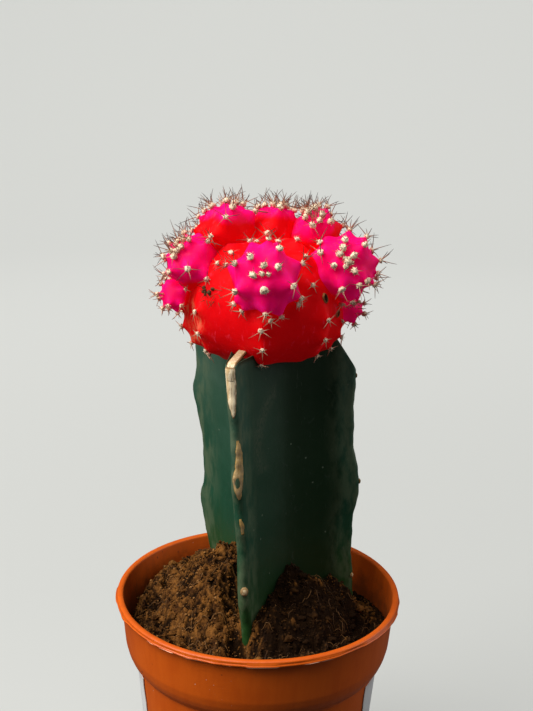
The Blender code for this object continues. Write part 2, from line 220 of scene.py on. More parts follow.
def make_piece(name, points, faces, finish, nodes, marks=None, crease=None):
    """One piece on the plant's body, from points in metres, with its finish and point marks.

    Edges sharper than the crease, in degrees, stay sharp."""
    mesh = bpy.data.meshes.new(name)
    mesh.from_pydata([tuple(p) for p in points], [], [tuple(int(i) for i in f) for f in faces])
    for mark, values in (marks or {}).items():
        data = mesh.attributes.new(mark, "FLOAT", "POINT").data
        data.foreach_set("value", np.asarray(values, dtype=np.float32))
    turn_outwards(mesh)
    mesh.shade_smooth()
    if crease is not None:
        mesh.set_sharp_from_angle(angle=math.radians(crease))
    mesh.materials.append(finish)
    piece = bpy.data.objects.new(name, mesh)
    bpy.context.scene.collection.objects.link(piece)
    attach(piece, BODY)
    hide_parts(*nodes)
    return piece


# ---------------------------------------------------------------- shader arithmetic

class Wire:
    """A shader socket that takes part in plain arithmetic; each operator adds a Math node."""

    def __init__(self, tree, socket):
        self.tree = tree
        self.socket = socket

    def math(self, operation, *values):
        node = self.tree.nodes.new("ShaderNodeMath")
        node.operation = operation
        for n, value in enumerate(values):
            feed(self.tree, node.inputs[n], value)
        return Wire(self.tree, node.outputs[0])

    def __add__(self, other):
        return self.math("ADD", self, other)

    def __radd__(self, other):
        return self.math("ADD", other, self)

    def __sub__(self, other):
        return self.math("SUBTRACT", self, other)

    def __rsub__(self, other):
        return self.math("SUBTRACT", other, self)

    def __mul__(self, other):
        return self.math("MULTIPLY", self, other)

    def __rmul__(self, other):
        return self.math("MULTIPLY", other, self)

    def __lt__(self, other):
        return self.math("LESS_THAN", self, other)


def feed(tree, socket, value):
    """Link a wire to a socket, or set the socket's own value."""
    if isinstance(value, Wire):
        tree.links.new(value.socket, socket)
    elif hasattr(value, "__len__") and socket.type == "RGBA" and len(value) == 3:
        socket.default_value = (*value, 1.0)
    else:
        socket.default_value = value


class Finish:
    """A material under construction."""

    def __init__(self, name, **constants):
        self.material = bpy.data.materials.new(name)
        self.material.use_nodes = True
        self.tree = self.material.node_tree
        self.shader = self.tree.nodes["Principled BSDF"]
        for socket, value in constants.items():
            feed(self.tree, self.shader.inputs[socket.replace("_", " ")], value)
        self.spot = self.node("ShaderNodeTexCoord", {}, {}, "Object")

    def node(self, kind, settings, values, out):
        """Add a node of a kind, make its settings, then fill its sockets; answers with one output."""
        node = self.tree.nodes.new(kind)
        for setting, value in settings.items():
            setattr(node, setting, value)
        for socket, value in values.items():
            feed(self.tree, self.socket_called(node.inputs, socket), value)
        return Wire(self.tree, self.socket_called(node.outputs, out))

    def socket_called(self, sockets, name):
        return [s for s in sockets if name in (s.identifier, s.name)][0]

    def mark(self, name):
        return self.node("ShaderNodeAttribute", {"attribute_name": name}, {}, "Fac")

    def stretched(self, x, y, z):
        """The piece's own position with each direction drawn out or packed closer."""
        return self.node("ShaderNodeVectorMath", {"operation": "MULTIPLY"},
                         {"Vector": self.spot, "Vector_001": (x, y, z)}, "Vector")

    def grain(self, size_mm, detail=4.0, rough=0.55, distortion=0.0, where=None):
        """Cloudy noise whose lumps are about a given size."""
        return self.node("ShaderNodeTexNoise", {},
                         {"Vector": where or self.spot, "Scale": 1000.0 / size_mm, "Detail": detail,
                                                    "Roughness": rough, "Distortion": distortion}, "Fac")

    def cells(self, size_mm, where=None):
        """Distance from the middles of cells of about a given size."""
        return self.node("ShaderNodeTexVoronoi", {"feature": "F1"},
                         {"Vector": where or self.spot, "Scale": 1000.0 / size_mm}, "Distance")

    def between(self, value, low, high):
        """Smooth step of a value from 0 at the first limit to 1 at the second, either way round."""
        return self.node("ShaderNodeMapRange", {"interpolation_type": "SMOOTHSTEP"},
                         {"Value": value, "From Min": low, "From Max": high}, "Result")

    def blend(self, a, b, factor):
        """Mix two colours."""
        return self.node("ShaderNodeMix", {"data_type": "RGBA", "clamp_factor": True},
                         {"Factor_Float": factor, "A_Color": a, "B_Color": b}, "Result_Color")

    def height(self):
        return self.node("ShaderNodeSeparateXYZ", {}, {"Vector": self.spot}, "Z")

    def bump(self, value, depth_mm, strength=1.0, over=None):
        values = {"Height": value, "Distance": depth_mm * MM, "Strength": strength}
        if over is not None:
            values["Normal"] = over
        return self.node("ShaderNodeBump", {}, values, "Normal")

    def done(self, colour, roughness, normal):
        feed(self.tree, self.shader.inputs["Base Color"], colour)
        feed(self.tree, self.shader.inputs["Roughness"], roughness)
        feed(self.tree, self.shader.inputs["Normal"], normal)
        return self.material


# ---------------------------------------------------------------- nursery pot and paper label

POT_OUTSIDE = (
    (0.0, 0.0), (19.9, 0.0), (20.3, 0.4), (23.55, 36.0), (23.75, 36.4), (24.3, 37.0), (24.9, 37.8),
    (25.4, 39.0), (25.8, 40.6), (26.55, 48.6), (27.15, 48.7), (27.45, 48.95), (27.5, 49.2), (27.32, 49.38),
    (27.38, 49.75), (27.15, 50.0),
)
POT_INSIDE = (
    (26.45, 50.0), (26.15, 49.8), (25.3, 40.7), (24.9, 39.2), (24.45, 38.15), (23.85, 37.35),
    (23.3, 36.8), (23.0, 36.1), (19.8, 1.2), (19.3, 0.9), (0.0, 0.9),
)
# Bearings and half widths of the torn flash under the lip, where it stands out most and carries a painted
# highlight.
LIP_FLASH_HIGHLIGHTS = ((-34.0, 13.0), (2.0, 13.0), (24.0, 6.0), (64.0, 5.0))
POT_ACROSS, POT_TALL = 27.5, 50.0
DRAIN_HOLES = 6
DRAIN_RING, DRAIN_RADIUS = 13.0, 2.5
# The label: bearings where it starts and ends, and how far its two faces lie off the pot.
LABEL_START, LABEL_END = -66.0, -299.0
LABEL_TALL = 24.4
LABEL_FACES = (0.04, 0.16)


def rounded_profile(profile, share, reach):
    """Ease each corner of a profile with a short curve."""
    out = [profile[0]]
    for before, here, after in zip(profile, profile[1:], profile[2:]):
        a, b, c = Vector(before), Vector(here), Vector(after)
        back = min((a - b).length * share, reach)
        ahead = min((c - b).length * share, reach)
        start, end = b + (a - b).normalized() * back, b + (c - b).normalized() * ahead
        for t in (0.0, 0.33, 0.67, 1.0):
            out.append(tuple(start * (1 - t) ** 2 + b * 2 * t * (1 - t) + end * t ** 2))
    out.append(profile[-1])
    return out


def pot_plastic(settings):
    f = Finish("terracotta plastic", Specular_IOR_Level=0.28)
    cloud = f.grain(9.0, 3.0, 0.5)
    flow = f.grain(1.6, 3.0, 0.6, where=f.stretched(1.0, 1.0, 0.12))
    colour = f.blend(settings.colour, settings.deep_colour, f.between(cloud * 0.6 + flow * 0.4, 0.3, 0.75))
    rub = f.between(f.grain(0.7, 5.0, 0.7), 0.64, 0.74)
    colour = f.blend(colour, (0.62, 0.24, 0.10), rub * 0.22)
    # dust and stuck grains of potting mix
    dust = (f.cells(1.9) < 0.052) * f.between(f.grain(12.0, 2.0), 0.46, 0.6)
    colour = f.blend(colour, (0.78, 0.62, 0.5), dust * 0.75)
    smear = (f.cells(3.1, where=f.stretched(1.0, 1.0, 0.8)) < 0.06) * f.between(f.grain(15.0, 2.0), 0.42, 0.6)
    colour = f.blend(colour, (0.05, 0.018, 0.008), smear * 0.85)
    # the inside wall darkens towards the soil
    inside_darkening = f.mark("inside") * f.between(f.height() + (f.grain(3.0, 4.0, 0.7) - 0.5) * 0.012, 0.0495, 0.0405)
    colour = f.blend(colour, (0.10, 0.028, 0.008), inside_darkening * 0.8)
    # painted highlight: pale pink glints along the ragged flash under the lip
    colour = f.blend(colour, (0.95, 0.50, 0.33), f.between(f.mark("flash"), 0.05, 0.5))
    rough = 0.30 + flow * 0.12 + rub * 0.12 + f.mark("inside") * 0.15 + dust * 0.3
    normal = f.bump(f.grain(0.5, 2.0, 0.5), 0.028, 0.7)
    normal = f.bump(flow, 0.012, 0.4, normal)
    normal = f.bump(dust + smear, 0.06, 1.0, normal)
    return f.done(colour, rough, normal)


def build_pot(settings):
    """Thin moulded pot with a stepped collar, a beaded lip with a ragged flash line under a painted
    highlight, and drain holes.
    """
    low, high = part_box("pot")
    across = (high.x - low.x) / 2.0 / (POT_ACROSS * MM)
    up = (high.z - low.z) / (POT_TALL * MM)
    middle = (low + high) / 2.0
    segments = settings.segments
    outside = rounded_profile(POT_OUTSIDE, 0.3, 0.35)
    inside = rounded_profile(POT_INSIDE, 0.3, 0.35)
    profile = outside + inside
    # extra levels down the long walls, so that the moulding's slight waves have something to bend
    fine = [profile[0]]
    for a, b in zip(profile, profile[1:]):
        steps = max(1, int(math.hypot(b[0] - a[0], b[1] - a[1]) / 2.2))
        for s in range(1, steps + 1):
            fine.append((a[0] + (b[0] - a[0]) * s / steps, a[1] + (b[1] - a[1]) * s / steps))
    profile = fine
    turn_over = max(range(len(profile)), key=lambda n: profile[n][1] - 0.001 * n)
    points = [middle.to_tuple()[:2] + (low.z + profile[0][1] * MM * up,)]
    faces, rings, inner, lip_highlight_mark = [], [], [0.0], [0.0]
    for n, (radius, height) in enumerate(profile[1:-1], 1):
        rings.append(len(points))
        for i in range(segments):
            bearing = 360.0 * i / segments
            a = math.radians(bearing)
            wave = 0.035 * math.sin(2 * a + 0.6) + 0.02 * math.sin(5 * a + height * 0.08)
            r = radius + wave * (height / POT_TALL)
            z = height
            turned = (bearing + 180.0) % 360.0 - 180.0
            # painted highlight on the flash at these bearings; the same share also pushes the flash out a
            # little
            worn = max(math.exp(-((turned - at) / wide) ** 4) for at, wide in LIP_FLASH_HIGHLIGHTS)
            ragged = ease(-0.25, 0.15, rumble((math.sin(a) * 14, math.cos(a) * 14, 9.0), 1.1, 2))
            bright = worn * ragged * (1.0 if n < turn_over and 48.55 < height < 49.05 else 0.0)
            if n < turn_over and 48.8 < height < 49.6:
                flash = max(0.0, rumble((math.sin(a) * 8, math.cos(a) * 8, 3.0), 1.3, 4))
                r += min(0.20, 0.55 * flash + 0.14 * bright)
                z += 0.10 * rumble((math.sin(a) * 6, math.cos(a) * 6, 7.0), 1.1)
            if height > 49.0:
                z += 0.05 * math.sin(3 * a + 1.0) - 0.05
            p = at_bearing(bearing, r * MM * across, 0.0)
            points.append((middle.x + p.x, middle.y + p.y, max(low.z, low.z + z * MM * up)))
            inner.append(1.0 if n >= turn_over else 0.0)
            lip_highlight_mark.append(bright)
    points.append((middle.x, middle.y, low.z + profile[-1][1] * MM * up))
    inner.append(1.0)
    lip_highlight_mark.append(0.0)
    for a, b in zip(rings, rings[1:]):
        ring_faces(faces, a, b, segments)
    for i in range(segments):
        k = (i + 1) % segments
        faces.append((0, rings[0] + k, rings[0] + i))
        faces.append((len(points) - 1, rings[-1] + i, rings[-1] + k))
    pot = make_piece("nursery_pot", points, faces, pot_plastic(settings), ("pot",),
                     {"inside": inner, "flash": lip_highlight_mark})
    for hole in range(DRAIN_HOLES):
        bearing = 360.0 * (hole + 0.5) / DRAIN_HOLES
        drill_points, drill_faces = [], []
        spot = at_bearing(bearing, DRAIN_RING * MM * across) + Vector((middle.x, middle.y, 0.0))
        ends = [spot + Vector((0, 0, low.z - 0.001)), spot + Vector((0, 0, low.z + 0.002))]
        add_tube(drill_points, drill_faces, ends, [DRAIN_RADIUS * MM * across] * 2, 32)
        cutter_mesh = bpy.data.meshes.new("drill")
        cutter_mesh.from_pydata([tuple(p) for p in drill_points], [], drill_faces)
        turn_outwards(cutter_mesh)
        cutter = bpy.data.objects.new("drill", cutter_mesh)
        bpy.context.scene.collection.objects.link(cutter)
        cut(pot, cutter)


def cut(piece, cutter):
    """Take one closed shape out of a piece, then throw the cutter away."""
    step = piece.modifiers.new("cut", "BOOLEAN")
    step.operation = "DIFFERENCE"
    step.solver = "EXACT"
    step.object = cutter
    graph = bpy.context.evaluated_depsgraph_get()
    mesh = bpy.data.meshes.new_from_object(piece.evaluated_get(graph))
    piece.modifiers.clear()
    old = piece.data
    piece.data = mesh
    mesh.name = old.name + "_cut"
    bpy.data.meshes.remove(old)
    bpy.data.objects.remove(cutter, do_unlink=True)


def label_paper(settings):
    f = Finish("label paper", Specular_IOR_Level=0.3)
    fibre = f.grain(0.5, 5.0, 0.65, where=f.stretched(1.0, 1.0, 0.5))
    smudge = f.between(f.grain(6.0, 3.0, 0.6, 1.0), 0.52, 0.78)
    colour = f.blend(settings.label_colour, (0.58, 0.57, 0.56), smudge * 0.35 + fibre * 0.1)
    edge = f.mark("edge")
    colour = f.blend(colour, (0.62, 0.56, 0.50), edge * 0.5)
    normal = f.bump(f.grain(4.0, 2.0, 0.4), 0.12, 0.7)
    normal = f.bump(fibre, 0.012, 0.6, normal)
    return f.done(colour, 0.5 + smudge * 0.12, normal)


def build_label(settings):
    """Plain wrap-round label, a little lifted and creased where it ends."""
    low, high = part_box("label")
    pot_low, pot_high = part_box("pot")
    axis = (pot_low + pot_high) / 2.0
    steps, rows = 150, 14
    (wall_foot, foot_height), (wall_top, top_height) = POT_OUTSIDE[2:4]
    slope = (wall_top - wall_foot) / (top_height - foot_height)
    run = (LABEL_START - LABEL_END) / 360.0 * 2 * math.pi * 22.0
    points, faces, edge = [], [], []
    for lift in LABEL_FACES:
        for i in range(steps + 1):
            along = i / steps
            for j in range(rows + 1):
                level = j / rows
                height = (low.z + (high.z - low.z) * level) / MM
                bearing = LABEL_START + (LABEL_END - LABEL_START) * along
                bearing += 0.35 * math.sin(height * 0.9) * (abs(along - 0.5) * 2) ** 6
                margin = min(along, 1 - along) * run
                curl = 0.05 * math.exp(-margin / 0.9) * (0.6 + 0.4 * math.sin(height * 0.6 + i * 0.02))
                crease = 0.03 + 0.03 * rumble((bearing * 0.25, height * 0.6, 2.0), 2.0)
                radius = wall_foot + slope * (height - foot_height) + lift + max(curl, 0.0) + crease
                p = at_bearing(bearing, radius * MM)
                points.append((axis.x + p.x, axis.y + p.y, height * MM))
                rim = min(margin, level * LABEL_TALL, (1 - level) * LABEL_TALL)
                edge.append(math.exp(-rim / 0.35))
    close_sheet(faces, 0, steps, rows)
    make_piece("paper_label", points, faces, label_paper(settings), ("label",), {"edge": edge},
               crease=50.0)


# ---------------------------------------------------------------- rootstock

STEM_TOP = 100.4
STEM_TIP_HALF = 1.05
STEM_VALLEY = 5.8
STEM_BURIED = ((23.0, 0.10), (25.0, 0.25), (28.5, 0.45), (33.0, 0.66), (38.0, 0.82), (43.0, 0.93),
               (47.0, 1.0))
STEM_LEAN = ((20.0, 1.9), (45.0, 1.9), (105.0, -0.5))
STEM_BOTTOM = 23.0
# Each wing: its bearing low down and high up, then its reach as (height, distance from the axis).
WINGS = (
    (-12.5, -16.8, ((45.0, 17.2), (50.0, 17.4), (58.0, 18.2), (63.5, 17.7), (74.0, 17.9), (79.0, 18.4),
                    (86.0, 17.9), (94.0, 18.2), (103.0, 18.1))),
    (104.0, 104.0, ((47.0, 17.6), (54.0, 17.3), (58.5, 17.3), (63.5, 17.7), (68.6, 18.7), (71.0, 18.9),
                    (74.0, 18.5), (77.5, 17.9), (82.0, 17.8), (89.0, 18.0), (94.0, 18.3), (103.0, 18.3))),
    (-136.0, -136.0, ((47.0, 15.0), (50.0, 15.6), (58.0, 17.2), (63.5, 18.4), (68.0, 17.3), (77.5, 17.2),
                      (82.0, 18.3), (86.0, 19.5), (90.0, 18.5), (94.0, 18.1), (103.0, 18.0))),
)
# Slanted cuts across the top: bearing, distance out, height there, and rise towards the axis.
STEM_BEVELS = ((104.0, 18.3, 93.4, 1.5), (-136.0, 18.0, 95.2, 1.5), (-17.0, 18.0, 99.8, 0.5))
STEM_DRAWN = ((-13.51, -17.71, 6.82), (19.27, 15.13, 100.4))
# Each root: bearing, height where it starts, distance it reaches, and height where it ends.
ROOTS = ((-70.0, 34.0, 15.5, 12.0), (-10.0, 31.0, 13.0, 8.0), (45.0, 33.0, 16.0, 14.0),
         (100.0, 30.0, 14.0, 7.0), (165.0, 34.0, 16.0, 11.0), (-130.0, 30.0, 12.5, 8.5))
TIP_STEPS = 11
FLANK_STEPS = 22


def stem_outline(height):
    """Outline of the rootstock at one height, as (x, y, nearness to a wing's edge) in drawn millimetres."""
    buried = straight_reading(STEM_BURIED, height)
    axis_x = straight_reading(STEM_LEAN, height)
    share = min(max((height - 45.0) / 58.0, 0.0), 1.0)
    bearings, radii = [], []
    for k, (below, above, edge) in enumerate(WINGS):
        wave = 0.10 * math.sin(height * 0.83 + 2.1 * k) + 0.05 * math.sin(height * 2.3 + k)
        bearings.append(below + (above - below) * share + 0.25 * math.sin(height * 0.31 + k))
        radii.append((smooth_reading(edge, height) + wave) * buried)
    half = STEM_TIP_HALF * min(1.0, 0.35 + buried)
    valley = STEM_VALLEY * min(1.0, 0.2 + buried) * min(1.0, buried * 1.6)
    ring = []
    for k in range(3):
        here = bearings[k]
        following = bearings[(k + 1) % 3] + (360.0 if bearings[(k + 1) % 3] < here else 0.0)
        turn = math.radians(following - here) / 2.0
        for n in range(TIP_STEPS):
            a = math.radians(-72.0 + 144.0 * n / (TIP_STEPS - 1))
            ring.append((here, radii[k] - half * (1.0 - math.cos(a)), half * math.sin(a), 1.0))
        out = hollow_side(radii[k], half, valley, turn)
        ring += [(here, u, h, e) for u, h, e in out]
        ring.append((here + math.degrees(turn), valley, 0.0, 0.0))
        back = hollow_side(radii[(k + 1) % 3], half, valley, turn)
        ring += [(following, u, -h, e) for u, h, e in reversed(back)]
    out = []
    for bearing, u, h, e in ring:
        p = at_bearing(bearing, u) + at_bearing(bearing + 90.0, h)
        out.append((p.x + axis_x, p.y, e))
    return out


def hollow_side(radius, half, valley, turn):
    start = Vector((radius - half * 0.72, half * 0.97))
    end = Vector((valley * math.cos(turn), valley * math.sin(turn)))
    reach = (end - start).length
    leave = Vector((-1.0, 0.10)) * reach
    arrive = Vector((-math.sin(turn), math.cos(turn))) * reach * 0.55
    out = []
    for n in range(FLANK_STEPS):
        t = (n + 0.35) / (FLANK_STEPS + 0.3)
        a, b = 2 * t ** 3 - 3 * t ** 2 + 1, t ** 3 - 2 * t ** 2 + t
        c, d = -2 * t ** 3 + 3 * t ** 2, t ** 3 - t ** 2
        point = a * start + b * leave + c * end + d * arrive
        out.append((point.x, point.y, max(0.0, 1.0 - (start - point).length / 3.0)))
    return out


def stem_roof(x, y):
    """How high the cut top of the rootstock reaches over a point."""
    top = STEM_TOP
    for bearing, radius, level, rise in STEM_BEVELS:
        outwards = at_bearing(bearing, 1.0)
        foot = at_bearing(bearing, radius)
        inwards = (foot.x + straight_reading(STEM_LEAN, level) - x) * outwards.x + (foot.y - y) * outwards.y
        top = min(top, level + rise * inwards)
    return top


def wing_edge(k, height, across):
    """Point on a wing's rounded edge, so many millimetres round from its middle, and the way out of it."""
    ring = stem_outline(height)
    block = TIP_STEPS + 2 * FLANK_STEPS + 1
    first = k * block
    middle = first + TIP_STEPS // 2
    n = middle
    step = 1 if across >= 0 else -1
    left = abs(across)
    total = len(ring)
    while True:
        a, b = ring[n % total], ring[(n + step) % total]
        length = math.hypot(b[0] - a[0], b[1] - a[1])
        if left <= length:
            t = left / max(length, 1e-6)
            x, y = a[0] + (b[0] - a[0]) * t, a[1] + (b[1] - a[1]) * t
            before, after = ring[(n - 2) % total], ring[(n + 3) % total]
            tangent = Vector((after[0] - before[0], after[1] - before[1]))
            return Vector((x, y, height)), Vector((-tangent.y, tangent.x, 0.0)).normalized() * -1.0
        left -= length
        n += step


def rootstock_skin(settings):
    f = Finish("rootstock skin", Specular_IOR_Level=0.13)
    z = f.height()
    cloud = f.grain(11.0, 3.0, 0.55, 0.6)
    mottle = f.grain(1.7, 4.0, 0.6)
    long_cloud = f.grain(6.0, 3.0, 0.5, where=f.stretched(1.0, 1.0, 0.25))
    green = f.blend(settings.deep_colour, settings.skin_colour,
                    f.between(mottle * 0.5 + long_cloud * 0.5, 0.25, 0.8))
    # yellower where it leaves the soil
    green = f.blend(green, settings.foot_colour, f.between(z + (cloud - 0.5) * 0.010, 0.068, 0.048) * 0.85)
    # grey-blue wax, rubbed off in places
    wax = f.between(cloud * 0.7 + mottle * 0.3, 0.30, 0.70) * 0.5 + 0.5
    wax = wax * f.between(z, 0.066, 0.100)
    # painted shade: the front-right flank, turned from the light, is given less wax and painted darker and
    # yellower
    lee = f.mark("lee")
    green = f.blend(green, settings.wax_colour, wax * (0.8 - 0.68 * lee))
    green = f.blend(green, (0.008, 0.020, 0.005), f.between(lee, 0.15, 0.9) * 0.84)
    stain = f.between(f.grain(3.2, 5.0, 0.65, 1.5), 0.60, 0.74)
    green = f.blend(green, (0.045, 0.072, 0.052), stain * 0.28)
    # pale dots and fine rubbed scratches
    dots = f.cells(4.2) < 0.05
    green = f.blend(green, (0.12, 0.16, 0.11), dots * 0.7)
    scratch = f.between(f.grain(0.5, 3.0, 0.6, where=f.stretched(1.0, 1.0, 0.12)), 0.66, 0.74)
    green = f.blend(green, (0.07, 0.10, 0.07), scratch * 0.25 * f.between(cloud, 0.45, 0.6))
    # hard pale line along each wing
    edge = f.between(f.mark("edge"), 0.80, 1.0)
    worn = f.between(f.grain(2.2, 4.0, 0.6, where=f.stretched(1.0, 1.0, 0.4)), 0.38, 0.62)
    green = f.blend(green, (0.12, 0.15, 0.085), edge * worn * 0.55)
    # painted shade under the head: the cut top is painted near-black olive
    cork = f.mark("cut")
    green = f.blend(green, (0.030, 0.030, 0.012), cork)
    arc = f.mark("rub")
    green = f.blend(green, (0.085, 0.10, 0.062), arc * f.between(f.grain(0.6, 4.0, 0.7), 0.3, 0.7) * 0.6)
    rough = 0.40 + mottle * 0.14 + wax * 0.12 + cork * 0.3
    normal = f.bump(f.grain(0.45, 3.0, 0.6), 0.022, 0.55)
    normal = f.bump(long_cloud, 0.25, 0.35, normal)
    normal = f.bump(stain + dots + scratch, 0.05, 0.5, normal)
    return f.done(green, rough, normal)


def build_rootstock(settings):
    """Three thin wings with a rounded, faintly wavy edge and a slanted cut top, on buried roots."""
    place = placer("rootstock", *STEM_DRAWN)
    heights = [STEM_BOTTOM + 0.6 * n for n in range(136)]
    columns = np.array([stem_outline(h) for h in heights])       # height, point, (x, y, edge)
    count = columns.shape[1]
    levels = 118
    points, faces, edge, top_shade_mark, lee = [], [], [], [], []
    grid = np.zeros((levels, count, 3))
    for i in range(count):
        xs, ys = columns[:, i, 0], columns[:, i, 1]
        over = np.array([h - stem_roof(x, y) for h, x, y in zip(heights, xs, ys)])
        above = np.nonzero(over >= 0)[0]
        stop = int(above[0]) if len(above) else len(heights) - 1
        h0, h1 = heights[stop - 1], heights[stop]
        o0, o1 = over[stop - 1], over[stop]
        top = h0 + (h1 - h0) * (0 - o0) / (o1 - o0) if o1 != o0 else h1
        for n in range(levels):
            t = n / (levels - 1)
            h = STEM_BOTTOM + (top - STEM_BOTTOM) * t
            grid[n, i] = (np.interp(h, heights, xs), np.interp(h, heights, ys), h)
    for n in range(levels):
        for i in range(count):
            p = Vector(grid[n, i])
            out = Vector((p.x, p.y, 0.0)).normalized()
            swell = 0.10 * rumble(p, 7.0, 2) + 0.03 * rumble(p, 1.8, 2)
            if columns[0, i, 2] < 0.9:
                p += out * swell * 0.6
            points.append(place(p))
            edge.append(columns[0, i, 2])
            top_shade_mark.append(ease(STEM_TOP - 0.1, STEM_TOP, p.z) if n == levels - 1 else 0.0)
            # painted shade on the front-right flank, darkest towards the right wing and fading near the wing
            # edges
            front_flank = p.x > -4.5 and p.y < 0.24 * p.x + 1.5
            dark = (0.50 + 0.50 * ease(-1.0, 10.0, p.x)) * ease(0.99, 0.85, columns[0, i, 2])
            lee.append(dark if front_flank else 0.0)
        if n:
            ring_faces(faces, (n - 1) * count, n * count, count)
    # softened rim and the dried cut surface, which is marked for painted shade under the head
    middle = Vector((straight_reading(STEM_LEAN, STEM_TOP), 0.0, 0.0))
    last = (levels - 1) * count
    for inset, drop in ((0.18, -0.16), (0.5, -0.02), (1.6, 0.25), (3.6, 0.5), (6.5, 0.7)):
        start = len(points)
        for i in range(count):
            p = Vector(grid[levels - 1, i])
            flat = Vector((p.x, p.y, 0.0)) - middle
            reach = flat.length
            share = max(0.0, 1.0 - inset / max(reach, 1e-6)) if reach > 4.0 else max(0.0, 1.0 - inset / 9.0)
            q = middle + flat * share
            points.append(place((q.x, q.y, stem_roof(q.x, q.y) - drop - (0.2 if inset > 1 else 0.0))))
            edge.append(1.0)
            top_shade_mark.append(min(1.0, inset))
            lee.append(0.0)
        ring_faces(faces, last, start, count)
        last = start
    points.append(place((middle.x, middle.y, STEM_TOP - 1.2)))
    points.append(place((1.9, 0.0, STEM_BOTTOM)))
    edge += [0.0, 0.0]
    top_shade_mark += [1.0, 0.0]
    lee += [0.0, 0.0]
    for i in range(count):
        k = (i + 1) % count
        faces.append((last + i, last + k, len(points) - 2))
        faces.append((k, i, len(points) - 1))
    # a faint curved scuff on the front wing's right side
    rub = [0.0] * len(points)
    for n, p in enumerate(points):
        q = Vector(p) / MM
        around = math.hypot(q.x - 5.5, (q.z - 84.0) * 0.62)
        if q.y < -6.0 and q.x < 3.0 and q.z > 78.0:
            rub[n] = math.exp(-((around - 6.0) / 0.8) ** 2)
    skin = rootstock_skin(settings)
    make_piece("rootstock_wings", points, faces, skin, ("rootstock",),
               {"edge": edge, "cut": top_shade_mark, "lee": lee, "rub": rub})
    root_points, root_faces = [], []
    for bearing, start, reach, end in ROOTS:
        path, radii = [], []
        for s in range(15):
            t = s / 14.0
            swing = 9.0 * math.sin(3.0 * t + bearing)
            p = at_bearing(bearing + swing, 1.5 + (reach - 1.5) * t ** 0.8, start + (end - start) * t ** 1.2)
            path.append(place((p.x + 1.9, p.y, p.z)))
            radii.append((1.35 - 0.8 * t) * MM * (1 + 0.08 * math.sin(9 * t + bearing)))
        add_tube(root_points, root_faces, path, radii, 10)
    f = Finish("root bark", Specular_IOR_Level=0.2)
    bark = f.grain(1.2, 5.0, 0.65, where=f.stretched(1.0, 1.0, 0.5))
    make_piece("roots", root_points, root_faces,
               f.done(f.blend((0.20, 0.11, 0.045), (0.07, 0.035, 0.015), bark), 0.85, f.bump(bark, 0.2)),
               ("rootstock",))


def cork_finish():
    f = Finish("dry cork", Specular_IOR_Level=0.25)
    lines = f.grain(0.55, 4.0, 0.7, 0.3, where=f.stretched(1.0, 1.0, 0.09))
    patch = f.grain(1.3, 4.0, 0.6)
    pale = f.blend((0.62, 0.42, 0.20), (0.90, 0.76, 0.52), f.between(lines, 0.35, 0.6))
    colour = f.blend(pale, (0.22, 0.10, 0.03), f.between(lines, 0.56, 0.66) * 0.75)
    colour = f.blend(colour, (0.22, 0.11, 0.03), f.between(f.mark("rim"), 0.1, 0.6) * 0.85)
    ochre = f.blend((0.40, 0.23, 0.05), (0.17, 0.10, 0.03), f.between(patch, 0.4, 0.65))
    colour = f.blend(colour, ochre, f.mark("ochre") * f.between(patch, 0.1, 0.45))
    # darker in the sunken hollows and the middles of the old areoles, and painted shade where the strip runs
    # in under the head
    colour = f.blend(colour, (0.09, 0.045, 0.02), f.mark("hollow"))
    normal = f.bump(lines, 0.10, 0.8)
    normal = f.bump(f.grain(0.3, 3.0, 0.6), 0.03, 0.6, normal)
    return f.done(colour, 0.72 + patch * 0.12, normal)


def add_edge_patch(store, place, k, rows, thick, ochre=0.0, hollow=None):
    """Raised corky skin on a wing's edge. Each row is (height, from, to) in millimetres round the edge.

    A hollow is (height, its half height, place round the edge, its half width)."""
    points, faces, marks = store
    across = 12
    count = max(10, int(abs(rows[-1][0] - rows[0][0]) / 0.22))
    low_table = [(row[0], row[1]) for row in sorted(rows)]
    high_table = [(row[0], row[2]) for row in sorted(rows)]
    z0, z1 = low_table[0][0], low_table[-1][0]
    grid = []
    for n in range(count + 1):
        z = z0 + (z1 - z0) * n / count
        a = smooth_reading(low_table, z) + 0.10 * rumble((z, 1.0 + k, 0.0), 0.9)
        b = smooth_reading(high_table, z) + 0.12 * rumble((z, 5.0 + k, 0.0), 0.8)
        row = []
        for s in range(across + 1):
            t = s / across
            skin, out = wing_edge(k, z, a + (b - a) * t)
            rim = min(t, 1 - t) * max(b - a, 0.05) / 0.25
            tip = min(n, count - n) * (z1 - z0) / count / 0.35
            lift = thick * ease(0.0, 1.0, min(rim, tip)) + 0.02 * rumble((z * 0.5, s * 1.3, k), 0.7)
            deep = 0.0
            if hollow:
                deep = math.exp(-(((z - hollow[0]) / hollow[1]) ** 2
                                  + ((a + (b - a) * t - hollow[2]) / hollow[3]) ** 2))
                lift -= 0.22 * deep
            row.append((skin, out, lift, ease(0.9, 0.2, min(rim, tip)), deep))
        grid.append(row)
    first = len(points)
    for level in (0, 1):
        for row in grid:
            for skin, out, lift, rim, deep in row:
                p = skin + out * (lift if level else PATCH_BACK)
                points.append(place(p))
                marks["rim"].append(rim)
                marks["ochre"].append(ochre)
                marks["hollow"].append(min(1.0, deep))
    close_sheet(faces, first, count, across)


